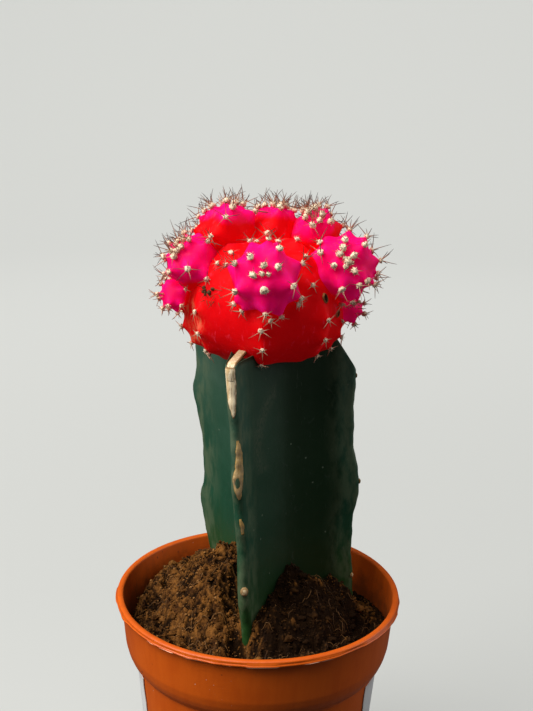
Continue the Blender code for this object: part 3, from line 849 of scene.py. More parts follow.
def add_roof_strip(store, place, k):
    """The cork strip where it turns over the wing's corner and runs in under the head."""
    points, faces, marks = store
    bearing = WINGS[k][1]
    # the upright rows stand on the edge, and the rest lie on the top
    across, along, upright = 10, 34, 9
    first = len(points)
    for level in (0, 1):
        for n in range(along + 1):
            for s in range(across + 1):
                side = (2.0 * s / across - 1.0) * 0.96
                rim = min(s, across - s) / across
                lift = PATCH_BACK
                if level:
                    lift = 0.15 * ease(0.0, 0.15, rim) + 0.02 * rumble((side, n * 0.3, 3.0), 0.6)
                corner, out = wing_edge(k, 99.3, side)
                if n < upright:
                    z = 97.6 + 0.2 * n
                    spot, out = wing_edge(k, z, side)
                    spot += out * lift
                else:
                    inwards = 0.05 + 7.0 * ((n - upright) / (along - upright)) ** 1.2
                    spot = corner - at_bearing(bearing, inwards)
                    soften = max(0.0, 0.7 - inwards) ** 2 * 0.5
                    spot += out * lift * ease(0.6, 0.0, inwards)
                    spot.z = min(stem_roof(spot.x, spot.y), 101.2) + lift - soften + 0.10 * inwards
                points.append(place(spot))
                marks["rim"].append(ease(0.2, 0.05, rim))
                marks["ochre"].append(0.3 * ease(10, 20, n))
                # painted shade deepening as the strip runs in under the head
                marks["hollow"].append(0.3 * ease(14, 28, n))
    close_sheet(faces, first, along, across)


def add_edge_knob(store, place, k, height, across, wide, tall, thick):
    """Round felted areole standing on a wing's edge."""
    points, faces, marks = store
    skin, out = wing_edge(k, height, across)
    side = Vector((0.0, 0.0, 1.0)).cross(out).normalized()
    base, base_faces = ball(3)
    first = len(points)
    for b in base:
        p = side * b[0] * wide + Vector((0, 0, 1)) * b[2] * tall + out * b[1] * -thick
        grainy = 1.0 + 0.10 * rumble(Vector(b) * 2.0 + Vector((height, k, 0)), 0.6, 3)
        points.append(place(skin + p * grainy))
        blotch = ease(0.1, 0.4, rumble(Vector(b) * 3.0 + Vector((height, 0, 0)), 1.0, 2))
        marks["rim"].append(ease(0.45, 0.9, math.hypot(b[0], b[2])) * 0.8 + 0.5 * blotch)
        marks["ochre"].append(0.15)
        marks["hollow"].append(0.35 * math.exp(-(math.hypot(b[0], b[2]) / 0.22) ** 2))
    add_ball_faces(faces, first, base_faces)


# Patches on the front wing: rows, thickness, how ochre, and a hollow.
CORK_PATCHES = (
    (((91.0, 0.05, 0.35), (92.0, -0.25, 0.65), (94.0, -0.7, 0.95), (97.0, -1.0, 1.05), (99.0, -1.05, 1.05),
      (100.0, -1.0, 1.0)), 0.14, 0.0, None),
    (((75.8, 0.25, 0.6), (77.0, 0.0, 1.1), (79.0, -0.55, 1.6), (80.6, -0.5, 1.9), (82.0, -0.1, 1.75),
      (84.5, 0.1, 1.5), (86.9, 0.3, 0.8)), 0.10, 0.75, (79.2, 1.1, 0.4, 0.45)),
    (((69.2, 0.35, 0.8), (70.2, 0.2, 1.0), (71.2, 0.1, 0.9), (72.2, 0.15, 0.45)), 0.08, 0.9, None),
)
# Old areoles: wing, height, place round the edge, half width, half height and thickness.
CORK_KNOBS = (
    (0, 58.3, 0.45, 0.72, 0.86, 0.5), (1, 51.4, -0.9, 0.42, 0.55, 0.32), (1, 70.9, 0.0, 0.5, 0.55, 0.34),
    (1, 92.4, 0.0, 0.42, 0.5, 0.3), (2, 86.0, 0.0, 0.5, 0.6, 0.34), (2, 63.8, 0.0, 0.48, 0.6, 0.34),
)


def build_cork():
    """Dried cut strip, scars and old areoles along the wings' edges."""
    place = placer("rootstock", *STEM_DRAWN)
    store = ([], [], {"rim": [], "ochre": [], "hollow": []})
    for patch in CORK_PATCHES:
        add_edge_patch(store, place, 0, *patch)
    add_roof_strip(store, place, 0)
    for knob in CORK_KNOBS:
        add_edge_knob(store, place, *knob)
    points, faces, marks = store
    make_piece("cork_and_scars", points, faces, cork_finish(), ("rootstock",), marks)


# ---------------------------------------------------------------- potting mix

# Height of the bed at the wall and of the mound round the stem, each against the bearing.
SOIL_EDGE = ((-180.0, 45.5), (-150.0, 48.2), (-120.0, 47.6), (-90.0, 45.2), (-45.0, 46.4), (0.0, 46.6),
             (45.0, 46.0), (90.0, 43.0), (130.0, 41.4), (155.0, 42.8), (180.0, 45.5))
SOIL_MOUND = ((-180.0, 8.5), (-136.0, 6.0), (-105.0, 11.0), (-76.0, 14.5), (-40.0, 12.0), (-16.0, 5.0),
              (0.0, 7.0), (40.0, 9.5), (62.0, 12.5), (80.0, 10.5), (104.0, 6.0), (164.0, 9.0), (180.0, 8.5))
# Local heaps and hollows against the wings: x, y, height and spread.
SOIL_HEAPS = ((14.6, 0.2, 3.6, 3.2), (17.6, 1.0, 3.4, 3.2), (-2.5, -19.2, -5.4, 2.2), (2.4, -15.2, 2.6, 2.8),
              (-6.5, -17.5, 0.8, 2.4))
SOIL_FLOOR = 1.3
# Long loose hairs on the bed: x, y, heading in radians, length and curl.
LONG_HAIRS = ((-15.5, -11.5, -0.9, 9.0, 0.10), (-12.5, -16.0, -0.1, 5.0, -0.2),
              (9.5, -19.0, -0.35, 6.0, 0.12),
              (4.0, -20.0, -1.3, 4.0, -0.35))


def soil_level(bearing, radius):
    share = min(max((19.5 - radius) / 12.5, 0.0), 1.0)
    lift = straight_reading(SOIL_MOUND, bearing) * share * (1.6 - 0.6 * share)
    drop = 1.2 * max(radius - 22.0, 0.0) / 2.2 if bearing < -60.0 else 0.0
    drop += 2.2 * ease(23.2, 25.0, radius) * ease(-20.0, -50.0, bearing)
    return straight_reading(SOIL_EDGE, bearing) + lift - drop


def inner_wall(height):
    """Radius of the pot's inside at a height."""
    return straight_reading([(z, r) for r, z in reversed(POT_INSIDE[1:9])], height)


def rough_soil(x, y):
    """Height of the potting mix at a place, with its clods."""
    radius = math.hypot(x, y)
    bearing = math.degrees(math.atan2(x, -y))
    base = soil_level(bearing, radius)
    for hx, hy, lift, spread in SOIL_HEAPS:
        base += lift * math.exp(-((x - hx) ** 2 + (y - hy) ** 2) / spread ** 2)
    lumps, crumbs = soil_grain(x, y)
    keep = ease(25.2, 23.5, radius)
    return base + lumps * (0.35 + 0.65 * keep) + crumbs


def painted_shadow(x, y):
    """How much painted shadow darkens the bed: most on the right, behind the front wing, and round the wall.
    """
    return max(ease(-2.5, 3.0, x) * ease(6.0, -4.0, y), 0.8 * ease(23.0, 24.6, math.hypot(x, y)))


def soil_grain(x, y):
    """Clods and crumbs of the bed's surface, as two heights."""
    def layer(depth, size, octaves):
        return rumble((x, y, depth), size, octaves)
    lumps = 1.1 * layer(11.0, 3.0, 2) + 1.3 * abs(layer(31.0, 1.7, 1)) - 0.4
    crumbs = 0.60 * layer(51.0, 0.90, 3) + 0.34 * layer(71.0, 0.45, 2)
    return lumps, crumbs


def soil_finish(settings, name="potting mix"):
    f = Finish(name, Specular_IOR_Level=0.05)
    fine = f.grain(0.5, 6.0, 0.7)
    medium = f.grain(2.1, 4.0, 0.65)
    large = f.grain(8.0, 2.0, 0.5)
    colour = f.blend(settings.dark_colour, settings.warm_colour,
                     f.between(fine * 0.45 + medium * 0.4 + large * 0.15, 0.38, 0.62))
    flecks = f.between(f.cells(0.62), 0.20, 0.10) * f.between(f.grain(1.2, 3.0), 0.5, 0.62)
    colour = f.blend(colour, settings.fleck_colour, flecks * 0.8)
    if name == "potting mix":
        # painted shade in the low spots between clods and under the painted shadow
        colour = f.blend(colour, (0.006, 0.003, 0.0015), f.between(f.mark("pit"), 0.32, 0.68) * 0.94)
    else:
        tone = f.mark("tone")
        colour = f.blend(colour, settings.fleck_colour, f.between(tone, 0.80, 1.0) * 0.75)
        # low tones turn a crumb dark: partly random, partly the painted shadow
        colour = f.blend(colour, (0.012, 0.006, 0.003), f.between(tone + large * 0.5, 0.75, 0.35) * 0.9)
    normal = f.bump(fine, 0.22, 0.9)
    normal = f.bump(f.grain(0.22, 3.0, 0.7), 0.06, 0.8, normal)
    return f.done(colour, 0.88 + fine * 0.1, normal)


def inside_outline(x, y, ring):
    inside = False
    for (x0, y0), (x1, y1) in zip(ring, ring[1:] + ring[:1]):
        if (y0 > y) != (y1 > y) and x < (x1 - x0) * (y - y0) / (y1 - y0) + x0:
            inside = not inside
    return inside


def build_soil(settings):
    """Loose bed of potting mix, with crumbs, clods and curled fibres lying on it."""
    pot_low, pot_high = part_box("pot")
    axis = (pot_low + pot_high) / 2.0
    base = Vector((axis.x, axis.y, pot_low.z))

    def put(x, y, z):
        return base + Vector((x, y, z)) * MM
    segments = 540
    rings = [25.2 - 0.150 * n for n in range(156)]
    points, faces, pits = [], [], []
    for n, radius in enumerate(rings):
        for i in range(segments):
            bearing = -180.0 + 360.0 * i / segments
            p = at_bearing(bearing, radius)
            z = rough_soil(p.x, p.y)
            reach = min(radius, inner_wall(z) - 0.25)
            lumps, crumbs = soil_grain(p.x, p.y)
            # painted shade: low spots between crumbs and clods come out darker, and more so under the painted
            # shadow
            pits.append(0.5 - 0.55 * crumbs - 0.30 * lumps + 0.35 * painted_shadow(p.x, p.y))
            p = at_bearing(bearing, reach)
            points.append(put(p.x, p.y, z))
        if n:
            ring_faces(faces, (n - 1) * segments, n * segments, segments)
    points.append(put(0.0, 0.0, 56.0))
    inner = (len(rings) - 1) * segments
    for i in range(segments):
        faces.append((inner + i, inner + (i + 1) % segments, len(points) - 1))
    last = 0
    for height in (41.0, 38.0, 36.0, 20.0, 4.0, SOIL_FLOOR):
        start = len(points)
        for i in range(segments):
            bearing = -180.0 + 360.0 * i / segments
            radius = inner_wall(height) - (0.4 if height > SOIL_FLOOR else 0.9)
            p = at_bearing(bearing, radius)
            points.append(put(p.x, p.y, height))
        ring_faces(faces, start, last, segments)
        last = start
    points.append(put(0.0, 0.0, SOIL_FLOOR))
    for i in range(segments):
        faces.append((last + (i + 1) % segments, last + i, len(points) - 1))
    pits += [0.5] * (len(points) - len(pits))
    make_piece("potting_mix", points, faces, soil_finish(settings), ("soil",), {"pit": pits})

    rng = random.Random(41)
    outlines = {z: [(p[0], p[1]) for p in stem_outline(z)][::3] for z in range(44, 64, 2)}

    def free_spot(margin):
        while True:
            radius = 24.9 * math.sqrt(rng.random())
            bearing = rng.uniform(-180.0, 180.0)
            p = at_bearing(bearing, radius)
            z = rough_soil(p.x, p.y)
            if radius > inner_wall(z) - margin:
                continue
            if inside_outline(p.x, p.y, outlines[min(62, max(44, 2 * round(z / 2)))]):
                continue
            return p.x, p.y, z
    # small crumbs
    seed_points, seed_faces = ball(1)
    crumb_points, crumb_faces, tones = [], [], []
    for n in range(settings.crumbs):
        size = 0.11 + 0.26 * rng.random() ** 2.0
        x, y, z = free_spot(size + 0.3)
        turn = Matrix.Rotation(rng.uniform(0, 6.3), 3,
                               Vector((rng.gauss(0, 1), rng.gauss(0, 1), rng.gauss(0, 1))))
        stretch = Vector((rng.uniform(0.7, 1.3), rng.uniform(0.6, 1.1), rng.uniform(0.6, 1.0)))
        # darker tones where the painted shadow falls
        tone = rng.random() * (1.0 - 0.8 * painted_shadow(x, y))
        first = len(crumb_points)
        for b in seed_points:
            q = turn @ Vector((b[0] * stretch.x, b[1] * stretch.y, b[2] * stretch.z))
            q = q * size * rng.uniform(0.72, 1.2)
            crumb_points.append(put(x + q.x, y + q.y, z + q.z + size * 0.35))
            tones.append(tone)
        add_ball_faces(crumb_faces, first, seed_faces)
    crumb_finish = soil_finish(settings, "soil crumb")
    make_piece("soil_crumbs", crumb_points, crumb_faces, crumb_finish, ("soil",), {"tone": tones})
    # larger clods with a broken skin
    seed_points, seed_faces = ball(3)
    clod_points, clod_faces, tones = [], [], []
    for n in range(settings.clods):
        size = 0.35 + 0.62 * rng.random() ** 2.0
        x, y, z = free_spot(size + 0.5)
        off = Vector((rng.uniform(0, 90), rng.uniform(0, 90), rng.uniform(0, 90)))
        stretch = (rng.uniform(0.8, 1.25), rng.uniform(0.7, 1.1), rng.uniform(0.55, 0.85))
        # darker tones where the painted shadow falls
        tone = (0.3 + 0.55 * rng.random()) * (1.0 - 0.8 * painted_shadow(x, y))
        first = len(clod_points)
        for b in seed_points:
            v = Vector(b)
            bulge = 1.0 + 0.55 * rumble(v + off, 0.7, 2) + 0.28 * rumble(v + off, 0.22, 2)
            clod_points.append(put(x + b[0] * stretch[0] * size * bulge, y + b[1] * stretch[1] * size * bulge,
                                   z + b[2] * stretch[2] * size * bulge + size * 0.1))
            tones.append(tone)
        add_ball_faces(clod_faces, first, seed_faces)
    make_piece("soil_clods", clod_points, clod_faces, crumb_finish, ("soil",), {"tone": tones})
    # peat and coir fibres
    fibre_points, fibre_faces, tones = [], [], []
    for n in range(settings.fibres):
        x, y, z = free_spot(1.2)
        length = 0.9 + 3.6 * rng.random() ** 2.0
        heading = rng.uniform(0, 2 * math.pi)
        curl = rng.gauss(0.0, 1.3) / max(length, 1.2)
        lift = rng.uniform(0.05, 0.55) * min(length, 2.0) * 0.5
        tone = rng.random()
        path, radii = [], []
        steps = 8
        for s in range(steps + 1):
            t = s / steps
            ground = rough_soil(x, y)
            path.append(put(x, y, ground + 0.12 + lift * math.sin(math.pi * t) + 0.04 * rng.random()))
            radii.append(MM * (0.040 + 0.03 * tone) * (1.0 - 0.55 * abs(2 * t - 1) ** 2))
            heading += curl * length / steps + rng.gauss(0.0, 0.16)
            x, y = x + math.cos(heading) * length / steps, y + math.sin(heading) * length / steps
            reach = math.hypot(x, y)
            if reach > 24.3:
                x, y = x * 24.3 / reach, y * 24.3 / reach
        first = len(fibre_points)
        add_tube(fibre_points, fibre_faces, path, radii, 4)
        tones += [tone] * (len(fibre_points) - first)
    for x, y, heading, length, curl in LONG_HAIRS:
        path = []
        for s in range(25):
            path.append(put(x, y, rough_soil(x, y) + 0.30 + 0.5 * math.sin(s * 0.5) ** 2))
            x += math.cos(heading) * length / 24
            y += math.sin(heading) * length / 24
            heading += curl * 0.35 + 0.18 * math.sin(s * 0.7)
        first = len(fibre_points)
        add_tube(fibre_points, fibre_faces, path, [MM * 0.075] * len(path), 5)
        tones += [0.85] * (len(fibre_points) - first)
    f = Finish("soil fibre", Specular_IOR_Level=0.3)
    colour = f.blend((0.05, 0.020, 0.007), settings.fibre_colour, f.between(f.mark("tone"), 0.15, 0.85))
    colour = f.blend(colour, (0.04, 0.018, 0.008), f.between(f.grain(0.8, 3.0), 0.55, 0.7) * 0.5)
    make_piece("soil_fibres", fibre_points, fibre_faces,
               f.done(colour, 0.7, f.bump(f.grain(0.15, 2.0), 0.02)), ("soil",),
               {"tone": tones})


# ---------------------------------------------------------------- heads

# Each offset: its centre as shares of the part's box, its radius, how many ribs fill the part of it that
# has no areoles of its own, and those areoles as (bearing, elevation[, size]) from its centre.
HEADS = {
    "front": ((0.5, 0.569, 0.471), 5.5, 8, (
        (-3, 34), (-19, 17), (23, 30), (-6, 21, 0.7), (6, 20, 0.7), (-31, 44), (-55, 28), (39, 58), (85, 25),
        (43, 0), (-1, -4), (-46, -10), (-78, -38), (-70, -53), (2, -45), (82, -26))),
    "left": ((0.538, 0.481, 0.487), 4.6, 7, (
        (39, 49), (105, 50), (25, -18), (-9, 1), (-48, -9), (-45, 20), (-35, 42), (-19, 59), (135, 75))),
    "left_low": ((0.508, 0.507, 0.517), 2.7, 6, ((35, 28), (-85, 1), (-102, 53), (-24, -22), (19, -21))),
    "top_left": ((0.498, 0.494, 0.44), 5.0, 8, (
        (-70, 57), (-33, 86), (15, 56), (-3, 36), (83, 40), (-95, 43), (-101, 57), (108, 62), (-26, 4),
        (122, 74))),
    "top": ((0.482, 0.495, 0.25), 4.3, 7, (
        (19, 59), (-14, 6), (-40, -22), (25, -24), (56, -40), (-102, 53), (-111, 66), (-152, 80), (108, 65),
        (99, 47))),
    "top_right": ((0.454, 0.498, 0.51), 4.4, 8, (
        (-121, 72), (-118, 71), (-7, 27), (36, 34), (-109, 63), (137, 79), (106, 65), (-80, 63), (-9, 74))),
    "right": ((0.447, 0.488, 0.507), 5.3, 8, (
        (6, 22), (-1, 28, 0.7), (12, 19, 0.7), (-12, 34), (19, 32), (16, 5), (-19, 13), (1, 13, 0.8),
        (-48, 30), (-5, 46), (0, 60), (48, 45), (-60, -18), (-4, -23), (25, -19), (40, -13), (-69, 45),
        (90, 54), (136, 77), (87, 12), (83, -8), (24, -54))),
    "right_low": ((0.413, 0.514, 0.486), 2.4, 6, ((17, 31), (81, -14), (-25, -34), (112, 63))),
    "back_left": ((0.492, 0.469, 0.49), 4.6, 7, ()),
    "back_right": ((0.491, 0.471, 0.493), 4.9, 8, ()),
    "back_low": ((0.524, 0.487, 0.51), 2.6, 6, ()),
}
# How far towards the crown the pink begins, where that isn't low down on the offset.
PINK_STARTS = {"top_left": 0.38, "top": 0.42, "top_right": 0.30, "back_left": 0.1, "back_right": 0.1}
CROWDED_CROWNS = ("top_left", "top", "top_right", "left")
CROWN_RING = math.radians(17.0)
MOTHER_CENTRE = (0.5, 0.5, 0.502)
MOTHER_RADIUS = 13.3
MOTHER_AREOLES = (
    (-55, -4), (-54, -19), (-57, -35), (-64, -54), (4, -3), (-2, -10), (-1, -24), (-2, -43), (49, -7),
    (49, -21), (56, -39), (60, -54), (82, -14, 1.5), (79, -25, 1.5), (75, -35, 1.4), (-86, -8, 1.7),
    (-84, -20, 1.9), (-80, -32, 1.9), (-76, -45, 1.6), (-44, 33), (37, 19), (24, 7), (-14, 60), (-52, 52),
    (-38, 44), (50, 58), (41, 41), (8, 74), (-70, 66), (85, 60), (118, -6), (116, -21), (114, -37),
    (112, -53), (160, -4), (161, -19), (160, -35), (158, -53), (-157, -5), (-158, -20), (-156, -37),
    (-155, -54), (-118, -4), (-117, -19), (-116, -36), (-115, -53), (178, 14), (140, 12), (-100, 20),
    (150, 38), (-150, 40), (100, 22))


MOTHER_RIBS = (-80.0, -55.0, 0.0, 51.0, 79.0, 116.0, 160.0, -157.0, -117.0)
VIEW_PLACE = (0.0, -0.203, 0.156)                    # roughly where the plant is looked at from


class Head:
    """Skin of one head: how far it stands from the centre in any direction."""

    def __init__(self, name, centre, axis, radius, areoles, mother=False):
        self.name = name
        self.centre = centre
        self.axis = axis.normalized()
        self.radius = radius
        self.mother = mother
        self.areoles = areoles                       # (direction, size)
        self.out = np.array([d[:] for d, _ in areoles])
        sizes = np.array([s for _, s in areoles])
        angles = np.degrees(np.arccos(np.clip(self.out @ self.out.T, -1, 1))) + 1000.0 * np.eye(len(areoles))
        nearest = np.sort(angles, axis=1)[:, :3].mean(axis=1)
        self.spread = np.clip(nearest * (0.62 if not mother else 0.5), 6.0, 20.0 if not mother else 8.5)
        self.rise = (self.spread / (18.0 if not mother else 13.0)) ** 0.8 * sizes ** (0.8 if mother else 0.3)

    def squashed(self, out):
        """Outline of the large head: nearly round above, flatter below."""
        polar_cos = out[:, 2]
        across = np.sqrt(np.maximum(0.0, 1.0 - polar_cos ** 2))
        power = np.where(polar_cos >= 0, 2.2, 2.7)
        return (across ** power + (np.abs(polar_cos) / 0.86) ** power) ** (-1.0 / power)

    def skin(self, out, tallness=1.0):
        """Distances in millimetres for an array of directions, and how high each is on a tubercle."""
        total = np.zeros(len(out))
        for n in range(len(self.out)):
            if self.mother:
                e0 = math.asin(float(self.out[n, 2]))
                b0 = math.atan2(self.out[n, 0], -self.out[n, 1])
                e = np.arcsin(np.clip(out[:, 2], -1, 1))
                b = np.arctan2(out[:, 0], -out[:, 1])
                turn = (b - b0 + np.pi) % (2 * np.pi) - np.pi
                turn = turn * np.cos((e + e0) / 2)
                away = np.degrees(np.sqrt(turn ** 2 + ((e - e0) * 0.8) ** 2))
            else:
                away = np.degrees(np.arccos(np.clip(out @ self.out[n], -1, 1)))
            near = np.exp(-(away / self.spread[n]) ** (1.2 if self.mother else 1.12))
            total += (near * self.rise[n]) ** 4
        bump = total ** 0.25
        if self.mother:
            ribs = np.zeros(len(out))
            b = np.degrees(np.arctan2(out[:, 0], -out[:, 1]))
            for rib in MOTHER_RIBS:
                turn = (b - rib + 180.0) % 360.0 - 180.0
                ribs = np.maximum(ribs, np.exp(-(np.abs(turn) / 13.0) ** 1.6))
            fade = np.clip(np.sqrt(np.maximum(0, 1 - out[:, 2] ** 2)) * 1.6, 0, 1)
            under = np.clip((-out[:, 2] - 0.45) / 0.30, 0, 1)
            ridge = 0.050 * ribs * fade * (1 - 0.7 * under)
            nub = 0.135 * tallness * bump * (1 - 0.45 * under)
            shape = self.squashed(out) * (0.962 + ridge + 0.028 * under + nub)
        else:
            polar = np.degrees(np.arccos(np.clip(out @ np.array(self.axis[:]), -1, 1)))
            crown = 1.0 - 0.05 * np.exp(-(polar / 14.0) ** 2)
            shape = crown * (0.865 + 0.36 * tallness * bump)
        return self.radius * shape, bump

    def place(self, out):
        """World point on the skin in a direction, and the way straight out of it."""
        out = Vector(out).normalized()
        u = out.orthogonal().normalized()
        v = out.cross(u)
        step = 0.12
        dirs = [out] + [(out + way * step).normalized() for way in (u, v, -u, -v)]
        reach, _ = self.skin(np.array([d[:] for d in dirs]))
        p = [self.centre + d * (r * MM) for d, r in zip(dirs, reach)]
        normal = (p[1] - p[3]).cross(p[2] - p[4]).normalized()
        if normal.dot(out) < 0:
            normal.negate()
        return p[0], (normal + out * 0.6).normalized()

    def holds(self, point, margin):
        """Whether a world point lies under the skin."""
        away = (point - self.centre) / MM
        reach, _ = self.skin(np.array([away.normalized()[:]]))
        return away.length < reach[0] - margin


def areole_ways(areoles):
    """Directions and sizes of areoles given as (bearing, elevation[, size])."""
    return [(facing(a[0], a[1]), a[2] if len(a) > 2 else 1.0) for a in areoles]


def off_axis(turn, polar, around):
    """Unit vector at an angle from the axis that a rotation carries +Z to, in radians."""
    return turn @ Vector((math.sin(polar) * math.cos(around), math.sin(polar) * math.sin(around),
                          math.cos(polar)))


def filled_pattern(axis, radius, ribs, seen, front_way):
    """Seen areoles plus a spiral of ribs over the part of a head that is turned away from the front."""
    found = areole_ways(seen)
    turn = axis.to_track_quat("Z", "Y")
    rng = random.Random(int(radius * 100) + ribs)
    step = 27.0 if radius > 4 else 36.0
    rows = int(118.0 / step)
    extra = []
    for row in range(rows + 1):
        polar = (row + 0.42) * step
        count = ribs if row > 0 else max(4, ribs - 3)
        for i in range(count):
            a = 360.0 * i / count + (row % 2) * 180.0 / count + rng.uniform(-5, 5)
            p = polar + rng.uniform(-3, 3)
            d = off_axis(turn, math.radians(p), math.radians(a))
            if seen and d.dot(front_way) > 0.30:
                continue
            if any(d.angle(other) < math.radians(step * 0.72) for other, _ in found + extra):
                continue
            extra.append((d, 0.75 if row == 0 else 1.0))
    return found + extra


def gather_heads():
    """The large head and its offsets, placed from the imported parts."""
    view_from = Vector(VIEW_PLACE)
    low, high = part_box("scion_head")
    centre = Vector([low[i] + (high[i] - low[i]) * MOTHER_CENTRE[i] for i in range(3)])
    mother = Head("mother", centre, Vector((0, 0, 1)), MOTHER_RADIUS, areole_ways(MOTHER_AREOLES), True)
    heads = [mother]
    for name, (shares, radius, ribs, seen) in HEADS.items():
        low, high = part_box("offset_" + name)
        centre = Vector([low[i] + (high[i] - low[i]) * shares[i] for i in range(3)])
        tuft_low, tuft_high = part_box("tuft_" + name)
        axis = ((tuft_low + tuft_high) / 2.0 - centre).normalized()
        areoles = filled_pattern(axis, radius, ribs, seen, (view_from - centre).normalized())
        if name in CROWDED_CROWNS:
            turn = axis.to_track_quat("Z", "Y")
            for i in range(6):
                d = off_axis(turn, CROWN_RING, math.radians(60.0 * i + 20.0))
                if all(d.angle(other) > math.radians(11.0) for other, _ in areoles):
                    areoles.append((d, 0.9))
        heads.append(Head(name, centre, axis, radius, areoles))
    return heads


def flesh_finish(settings, mother):
    f = Finish("scion flesh" if mother else "offset flesh", Specular_IOR_Level=0.05, Subsurface_Weight=0.55,
               Subsurface_Radius=(1.0, 0.10, 0.20),
               Subsurface_Scale=0.0026, Emission_Strength=0.15)
    cloud = f.grain(3.2, 4.0, 0.6, 0.4)
    fine = f.grain(0.6, 4.0, 0.6)
    bloom = f.mark("bloom")
    furrow = f.mark("furrow")
    # painted shade: each head is painted a deeper red on its underside
    red = f.blend(settings.red_colour, settings.deep_red_colour, f.mark("low"))
    pink = f.blend(settings.pink_colour, settings.light_pink_colour, f.between(cloud, 0.50, 0.72) * 0.6)
    colour = f.blend(red, pink, f.between(bloom + (cloud - 0.5) * 0.5, 0.30, 0.72))
    # painted shade: the furrows between tubercles are painted a deeper red
    colour = f.blend(colour, settings.deep_red_colour, furrow * 0.6)
    # faint paler streaks that follow the ribs: painted highlights on the flesh
    streak = f.between(f.grain(0.8, 3.0, 0.6, 0.5, where=f.stretched(1.0, 1.0, 0.35)), 0.58, 0.74)
    colour = f.blend(colour, (0.98, 0.06, 0.12), streak * 0.3)
    if mother:
        scuff = f.mark("scuff") * f.between(f.grain(0.55, 4.0, 0.7, 0.4, where=f.stretched(1.0, 1.0, 0.22)),
                                            0.46, 0.60)
        colour = f.blend(colour, (0.72, 0.22, 0.10), scuff * 0.75)
    # painted glow: the flesh gives off light in its own colour, in place of light coming through the watery
    # flesh
    feed(f.tree, f.shader.inputs["Emission Color"], colour)
    rough = 0.44 + fine * 0.12
    normal = f.bump(f.grain(0.28, 3.0, 0.6), 0.016, 0.6)
    normal = f.bump(cloud, 0.22, 0.45, normal)
    normal = f.bump(streak, 0.03, 0.4, normal)
    return f.done(colour, rough, normal)


def build_heads(settings):
    """The large head with its nubbed ribs, and each offset as a cluster of pointed tubercles."""
    heads = gather_heads()
    mother_flesh = flesh_finish(settings, True)
    offset_flesh = flesh_finish(settings, False)
    for head in heads:
        dirs, faces = ball(7 if head.mother else 6 if head.radius > 4 else 5)
        reach, bump = head.skin(dirs, settings.tubercle_height)
        points = []
        for d, r in zip(dirs, reach):
            v = Vector(d)
            p = v * r
            wobble = 0.06 * rumble(p + Vector((head.radius * 9, 0, 0)), 2.2, 2)
            points.append(head.centre + (p + v * wobble) * MM)
        towards = dirs @ np.array(head.axis[:])
        if head.mother:
            bloom = np.clip((dirs[:, 2] - 0.35) * 0.5, 0, 0.25) + 0.16 * bump
            # the underside, marked for painted shade
            low = np.clip((0.15 - dirs[:, 2]) / 0.75, 0, 1)
            furrow = np.clip(0.35 - bump, 0, 1) * 0.3
            scuff = np.zeros(len(dirs))
            for bearing, elevation, size in ((-72, -6, 9), (-66, -16, 9), (-70, -28, 8), (-57, -12, 6)):
                d = np.array(facing(bearing, elevation)[:])
                scuff = np.maximum(scuff,
                                   np.exp(-(np.degrees(np.arccos(np.clip(dirs @ d, -1, 1))) / size) ** 2))
        else:
            start = PINK_STARTS.get(head.name, -0.25)
            bloom = 0.42 + 0.95 * np.clip(towards - start, -0.6, 0.45) + 0.30 * (bump - 0.45)
            # the side away from the crown, marked for painted shade
            low = np.clip(-towards, 0, 1) * 0.5
            furrow = np.clip(0.55 - bump, 0, 1) * 1.1
            scuff = np.zeros(len(dirs))
        marks = {"bloom": bloom, "low": low, "furrow": furrow, "scuff": scuff}
        if head.mother:
            make_piece("moon_head", points, faces, mother_flesh, ("scion_head",), marks)
        else:
            make_piece("offset_head_" + head.name, points, faces, offset_flesh,
                       ("offset_" + head.name,), marks)


def wool_finish(settings):
    f = Finish("areole wool", Specular_IOR_Level=0.15, Sheen_Weight=0.35, Sheen_Roughness=0.5)
    curls = f.grain(0.22, 5.0, 0.7)
    colour = f.blend(settings.wool_colour, settings.wool_shade, f.between(curls, 0.42, 0.62) * 0.75)
    colour = f.blend(colour, (0.60, 0.52, 0.44), f.mark("old") * 0.3)
    colour = f.blend(colour, (0.25, 0.13, 0.06), f.between(f.grain(0.35, 3.0), 0.60, 0.70) * 0.6)
    colour = f.blend(colour, (0.55, 0.18, 0.12), f.mark("foot") * 0.6)
    normal = f.bump(curls, 0.12, 1.0)
    return f.done(colour, 0.9, normal)


def spine_finish(settings):
    f = Finish("spine", Specular_IOR_Level=0.35)
    tip = f.mark("tip")
    dark = f.mark("dark")
    young = f.blend(settings.spine_base_colour, settings.spine_tip_colour, f.between(tip, 0.15, 0.85))
    pale = f.blend((0.74, 0.43, 0.27), (0.28, 0.12, 0.08), f.between(tip, 0.3, 1.0))
    colour = f.blend(pale, young, dark)
    rings = f.grain(0.2, 3.0, 0.6)
    colour = f.blend(colour, (0.80, 0.66, 0.55), f.between(rings, 0.58, 0.70) * 0.15)
    return f.done(colour, 0.45 + rings * 0.15, f.bump(rings, 0.012, 0.6))


